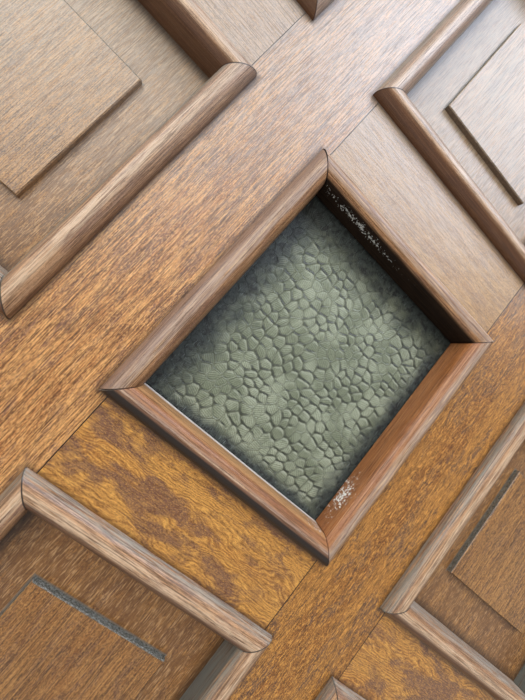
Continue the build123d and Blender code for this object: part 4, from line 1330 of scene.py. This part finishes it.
@dataclass(frozen=True)
class Studio:
    """Pale floor, pale backdrop, soft lamps and the photograph's camera."""

    grid: DoorGrid
    floor_half: float = 9.0
    aim: tuple[float, float, float] = (0.0, 0.0, 1.4)
    lens: float = 18.0
    looks: tuple[float, float, float] = (0.208, 0.968, 0.141)
    upward: tuple[float, float, float] = (-0.661, 0.033, 0.750)
    # The camera's place from the middle of the window's opening, in millimetres.
    stands: tuple[float, float, float] = (-92.2, -240.6, -59.1)

    def floor(self) -> None:
        """Lay the floor at the foot of the frame."""
        bm = bmesh.new()
        bmesh.ops.create_grid(bm, x_segments=1, y_segments=1, size=self.floor_half)
        obj = new_piece("studio_floor", bm)
        dress(obj, PaleFloor().material())

    def world(self) -> None:
        """Light softly all round, and show the camera a pale backdrop."""
        world = bpy.data.worlds.new("studio")
        world.use_nodes = True
        tree = world.node_tree
        tree.nodes.clear()
        soft = add(tree, "Background", {0: linear("#D9DEE6"), 1: 0.16})
        shown = add(tree, "Background", {0: linear(PALE), 1: 1.0})
        add(tree, "OutputWorld", {0: add(tree, "MixShader", {0: seen_ray(tree), 1: soft,
                                                             2: shown})})
        bpy.context.scene.world = world

    def lamps(self) -> None:
        """Hang the lamps: a bright sky above the street side, weaker ones elsewhere."""
        for lamp in (
                Softbox("sky_box", (0.25, -1.7, 3.85), (2.0, 1.3), 9.0, "#DEEAFF"),
                Softbox("front_box", (-1.6, -2.5, 2.3), (2.1, 1.8), 3.4, "#FFFCF4"),
                Softbox("left_box", (-2.6, -1.9, 2.1), (1.3, 1.8), 4.2, "#FFFDF8"),
                Softbox("right_box", (2.8, -1.8, 1.2), (1.2, 1.6), 0.2, "#FFF6EA"),
                Softbox("hall_box", (-0.8, 2.4, 2.9), (2.4, 1.6), 3.2, "#FFFFFF"),
                Softbox("hall_side_box", (2.4, 2.0, 1.5), (1.2, 2.0), 1.4, "#FFF8EE")):
            lamp.hang(Vector(self.aim))

    def camera(self) -> None:
        """Set the photograph's camera: near, wide and rolled."""
        centre = self.grid.corner(*self.grid.window) + self.grid.opening() / 2
        view = Vector(self.looks).normalized()
        right = view.cross(Vector(self.upward)).normalized()
        data = bpy.data.cameras.new("photo_camera")
        data.lens = self.lens
        data.sensor_width = 36.0
        data.clip_start = 0.01
        obj = bpy.data.objects.new("photo_camera", data)
        turn = Matrix((right, right.cross(view), -view)).transposed().to_4x4()
        obj.matrix_world = Matrix.Translation(centre + Vector(self.stands) * MM) @ turn
        bpy.context.scene.collection.objects.link(obj)
        bpy.context.scene.camera = obj


@dataclass
class Leaf:
    """The leaf: its boards, panels, mouldings and pane."""

    grid: DoorGrid
    pieces: list[Object] = field(default_factory=list)

    def counted_from(self, rows: bool) -> Vector:
        """Corner from which a node's boards are counted, by columns or by rows as well."""
        grid = self.grid
        up = (grid.cell_h - grid.pitch_z) / 2 if rows else 0.0
        return grid.corner(0, 0) + Vector(((grid.cell_w - grid.pitch_x) / 2, -DEEP / 2, up))

    def rail_at(self, above: bool) -> str:
        """Name of the cross rails at the window's top or bottom edge."""
        edge = (self.grid.corner(*self.grid.window) + self.grid.opening() * above).z
        return min((f"cross_rails_{k}" for k in CROSS_RAILS),
                   key=lambda node: abs(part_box(node)[0 if above else 1].z - edge))

    def boards(self) -> None:
        """Dress the stiles, muntins and rails."""
        board = partial(LeafBoard, grid=self.grid)
        rail = partial(board, grain=Grain.ACROSS, boards=self.counted_from(rows=False))
        upright = partial(board, grain=Grain.UPRIGHT, fibre=0.95, pores=0.55, fleck=0.45,
                          reach=18.0, tones=Tones("#B16E35", "#F2B872", "#7A5347",
                                                  "#74451F", "#371E10"))
        ends = (Joint.CELL_SIDES, Joint.GRID_ENDS)
        low, high = self.rail_at(above=False), self.rail_at(above=True)
        others = {f"cross_rails_{k}" for k in CROSS_RAILS} - {low, high}
        # Planed straight-grained oak: long pale fibres that fade to mauve in places.
        dress_nodes(upright("varnished_oak_muntin", joints=ends), "muntin_1")
        dress_nodes(upright("varnished_oak_stiles", joints=(Joint.GRID_SIDES,), seed=1.5),
                    "hinge_stile", "lock_stile")
        # A redder board with short gold flecks, as a sheltered one keeps.
        dress_nodes(board("varnished_reddish_oak_muntin", Grain.UPRIGHT, seed=2.0,
                          fleck=0.95, reach=12.0, joints=ends, fibre=0.8, streak=0.9,
                          pores=0.4, stipple=0.6,
                          tones=Tones("#824811", "#DC9B4A", "#604539", "#4E2A0A",
                                      "#281408")), "muntin_2")
        # Short rails of the same kind, golden brown.
        dress_nodes(rail("varnished_oak_rails", seed=3.0, fleck=0.7, reach=12.0, pores=0.4,
                         tones=Tones("#8A511A", "#C98A3C", "#6B4A34", "#5D3510",
                                     "#2C170A")), *sorted(others))
        # Flat-sawn oak: golden, with dark flame-like patches and wavy rings.
        dress_nodes(rail("varnished_figured_oak_rails", seed=4.0, figure=0.9, fleck=0.75,
                         streak=0.2, fibre=0.3, reach=9.0, pores=0.3, stipple=0.4,
                         tones=Tones("#A9692B", "#E6AA54", "#6E4A3E", "#6A3B12",
                                     "#2A160A")), low)
        # A plain, pale, finely stippled board.
        dress_nodes(rail("varnished_plain_oak_rails", seed=5.0, streak=0.5, fibre=0.5,
                         pores=0.3, reach=9.0, stipple=0.75,
                         tones=Tones("#AE804E", "#D8AE78", "#8F6E5B", "#7E5832",
                                     "#563A24")), high)
        # Wide boards of the middling sort, honey brown.
        dress_nodes(board("varnished_oak_end_rails", Grain.ACROSS, seed=6.0,
                          joints=(Joint.GRID_SIDES, Joint.GRID_ENDS)),
                    "top_rail", "bottom_rail")

    def panels(self) -> None:
        """Dress the raised panels."""
        # A darker, duller board than those round it, where water and dust stay longer.
        dress_nodes(RaisedPanel("varnished_oak_raised_panels", Grain.UPRIGHT, self.grid,
                                boards=self.counted_from(rows=True), seed=7.5, reach=30.0,
                                fibre=0.8, stipple=0.6, fleck=0.45, veil_tone="#CBBEAC",
                                dust=0.88, tones=Tones("#8A5726", "#CB9555", "#6A4837",
                                                       "#53300F", "#241207")),
                    *(f"panels_{k}" for k in PANELS))

    def mouldings(self) -> None:
        """Run the mouldings of the street side, and dress the ones inside."""
        grid = self.grid
        wood = {"grain": Grain.RUN, "grid": grid, "fibre": 0.9, "pores": 0.4,
                "stipple": 0.3, "reach": 45.0,
                "tones": Tones("#AE774A", "#DDB083", "#876152", "#66401D", "#382012")}
        web = Speckle((-0.046, -0.0075, 1.627), (0.034, 0.0032, 0.006), 2.1, 0.46,
                      "#D2D4CF")
        crumbs = Speckle((0.0855, -0.0005, 1.467), (0.006, 0.0075, 0.014), 1.7, 0.45,
                         "#F7F6F3")
        corner = Speckle((0.079, -0.006, 1.439), (0.016, 0.008, 0.006), 1.5, 0.5, "#EEEDE9")
        # Spindle-moulded oak: long even streaks that follow the length, greyed by dust and a
        # painted sky reflection, with painted shade on the faces turned down.
        clean = RunMoulding("run_oak_panel_moulding", **wood).material()
        # The same round the window, bare on its crest, with painted highlights on faces turned
        # up and black painted shade, with dirt, on faces turned down.
        shade_and_grime_finishes = {False: WindowMoulding("run_oak_window_moulding_across", tilt=0.28,
                                       varnish=0.45, speckles=(web, corner),
                                       **wood).material(),
                 True: WindowMoulding("run_oak_window_moulding_upright", varnish=0.6,
                                      speckles=(crumbs,), **wood).material()}
        sets = {"panel_mouldings": MouldingSet(grid, Section(depth=13 * MM)),
                "window_mouldings": MouldingSet(grid, Section(depth=13.5 * MM), window=True,
                                                step=6 * MM, gape=1.1 * MM, seed=50.0)}
        for name, made in sets.items():
            for way, upright in (("horizontal", False), ("vertical", True)):
                piece = made.build(f"run_{name}_{way}", upright)
                dress(piece, shade_and_grime_finishes[upright] if made.window else clean)
                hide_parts(f"{name}_{way}")
                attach(piece, "leaf")
                self.pieces.append(piece)
        # Sheltered from the weather, these keep the honey brown of new varnish.
        for name in ("inside_mouldings", "glazing_beads"):
            for way, grain in (("horizontal", Grain.ACROSS), ("vertical", Grain.UPRIGHT)):
                dress_nodes(StainedOak(f"run_oak_{name}_{way}", grain, grid, seed=9.0),
                            f"{name}_{way}")

    def pane(self) -> None:
        """Fit the patterned pane."""
        piece = Pane().build()
        dress(piece, PatternedGlass().material())
        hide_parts("window_glass")
        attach(piece, "leaf")
        self.pieces.append(piece)

    def build(self) -> None:
        """Make and dress all of the leaf."""
        self.boards()
        self.panels()
        self.mouldings()
        self.pane()
        for piece in self.pieces:
            LOG.info("%s: %d faces", piece.name, len(piece.data.polygons))


def dress_ironwork() -> None:
    """Give the metal, rubber and plastic nodes their finishes, by the record's slots."""
    finishes = {"aged_brass": AgedBrass(), "lock_steel": PlatedSteel(),
                "seal_rubber": Rubber("extruded_epdm_seal", "#161616", "#2B2A28"),
                "packer_plastic": Rubber("moulded_polypropylene_packers", "#2E2F30",
                                         "#3C3C3B")}
    for slot, finish in finishes.items():
        dress_nodes(finish, *(row["node"] for row in frame["record"]["subparts"]
                              if row["material_slot"] == slot))


def dress_frame(grid: DoorGrid) -> None:
    """Dress the frame's jambs, head and threshold.

    Args:
        grid: The leaf's cells.
    """
    # Planed oak with a thinner stain: duller and less red than the leaf.
    oak = partial(StainedOak, grid=grid,
                  tones=Tones("#8E6239", "#B08355", "#785743", "#5F3E25", "#332015"))
    dress_nodes(oak("planed_oak_jambs", Grain.UPRIGHT, seed=11.0), "hinge_jamb", "lock_jamb")
    dress_nodes(oak("planed_oak_head_and_threshold", Grain.ACROSS, seed=12.0),
                "head_jamb", "threshold")


def main() -> None:
    """Build the studio and dress the door."""
    logging.basicConfig(level=logging.INFO, format="%(name)s: %(message)s")
    noise.seed_set(NOISE_SEED)
    grid = DoorGrid.from_frame()
    studio = Studio(grid)
    studio.camera()
    studio.floor()
    studio.world()
    studio.lamps()
    Leaf(grid).build()
    dress_frame(grid)
    dress_ironwork()
    bpy.context.scene.view_settings.view_transform = "Standard"


if __name__ == "__main__":
    main()
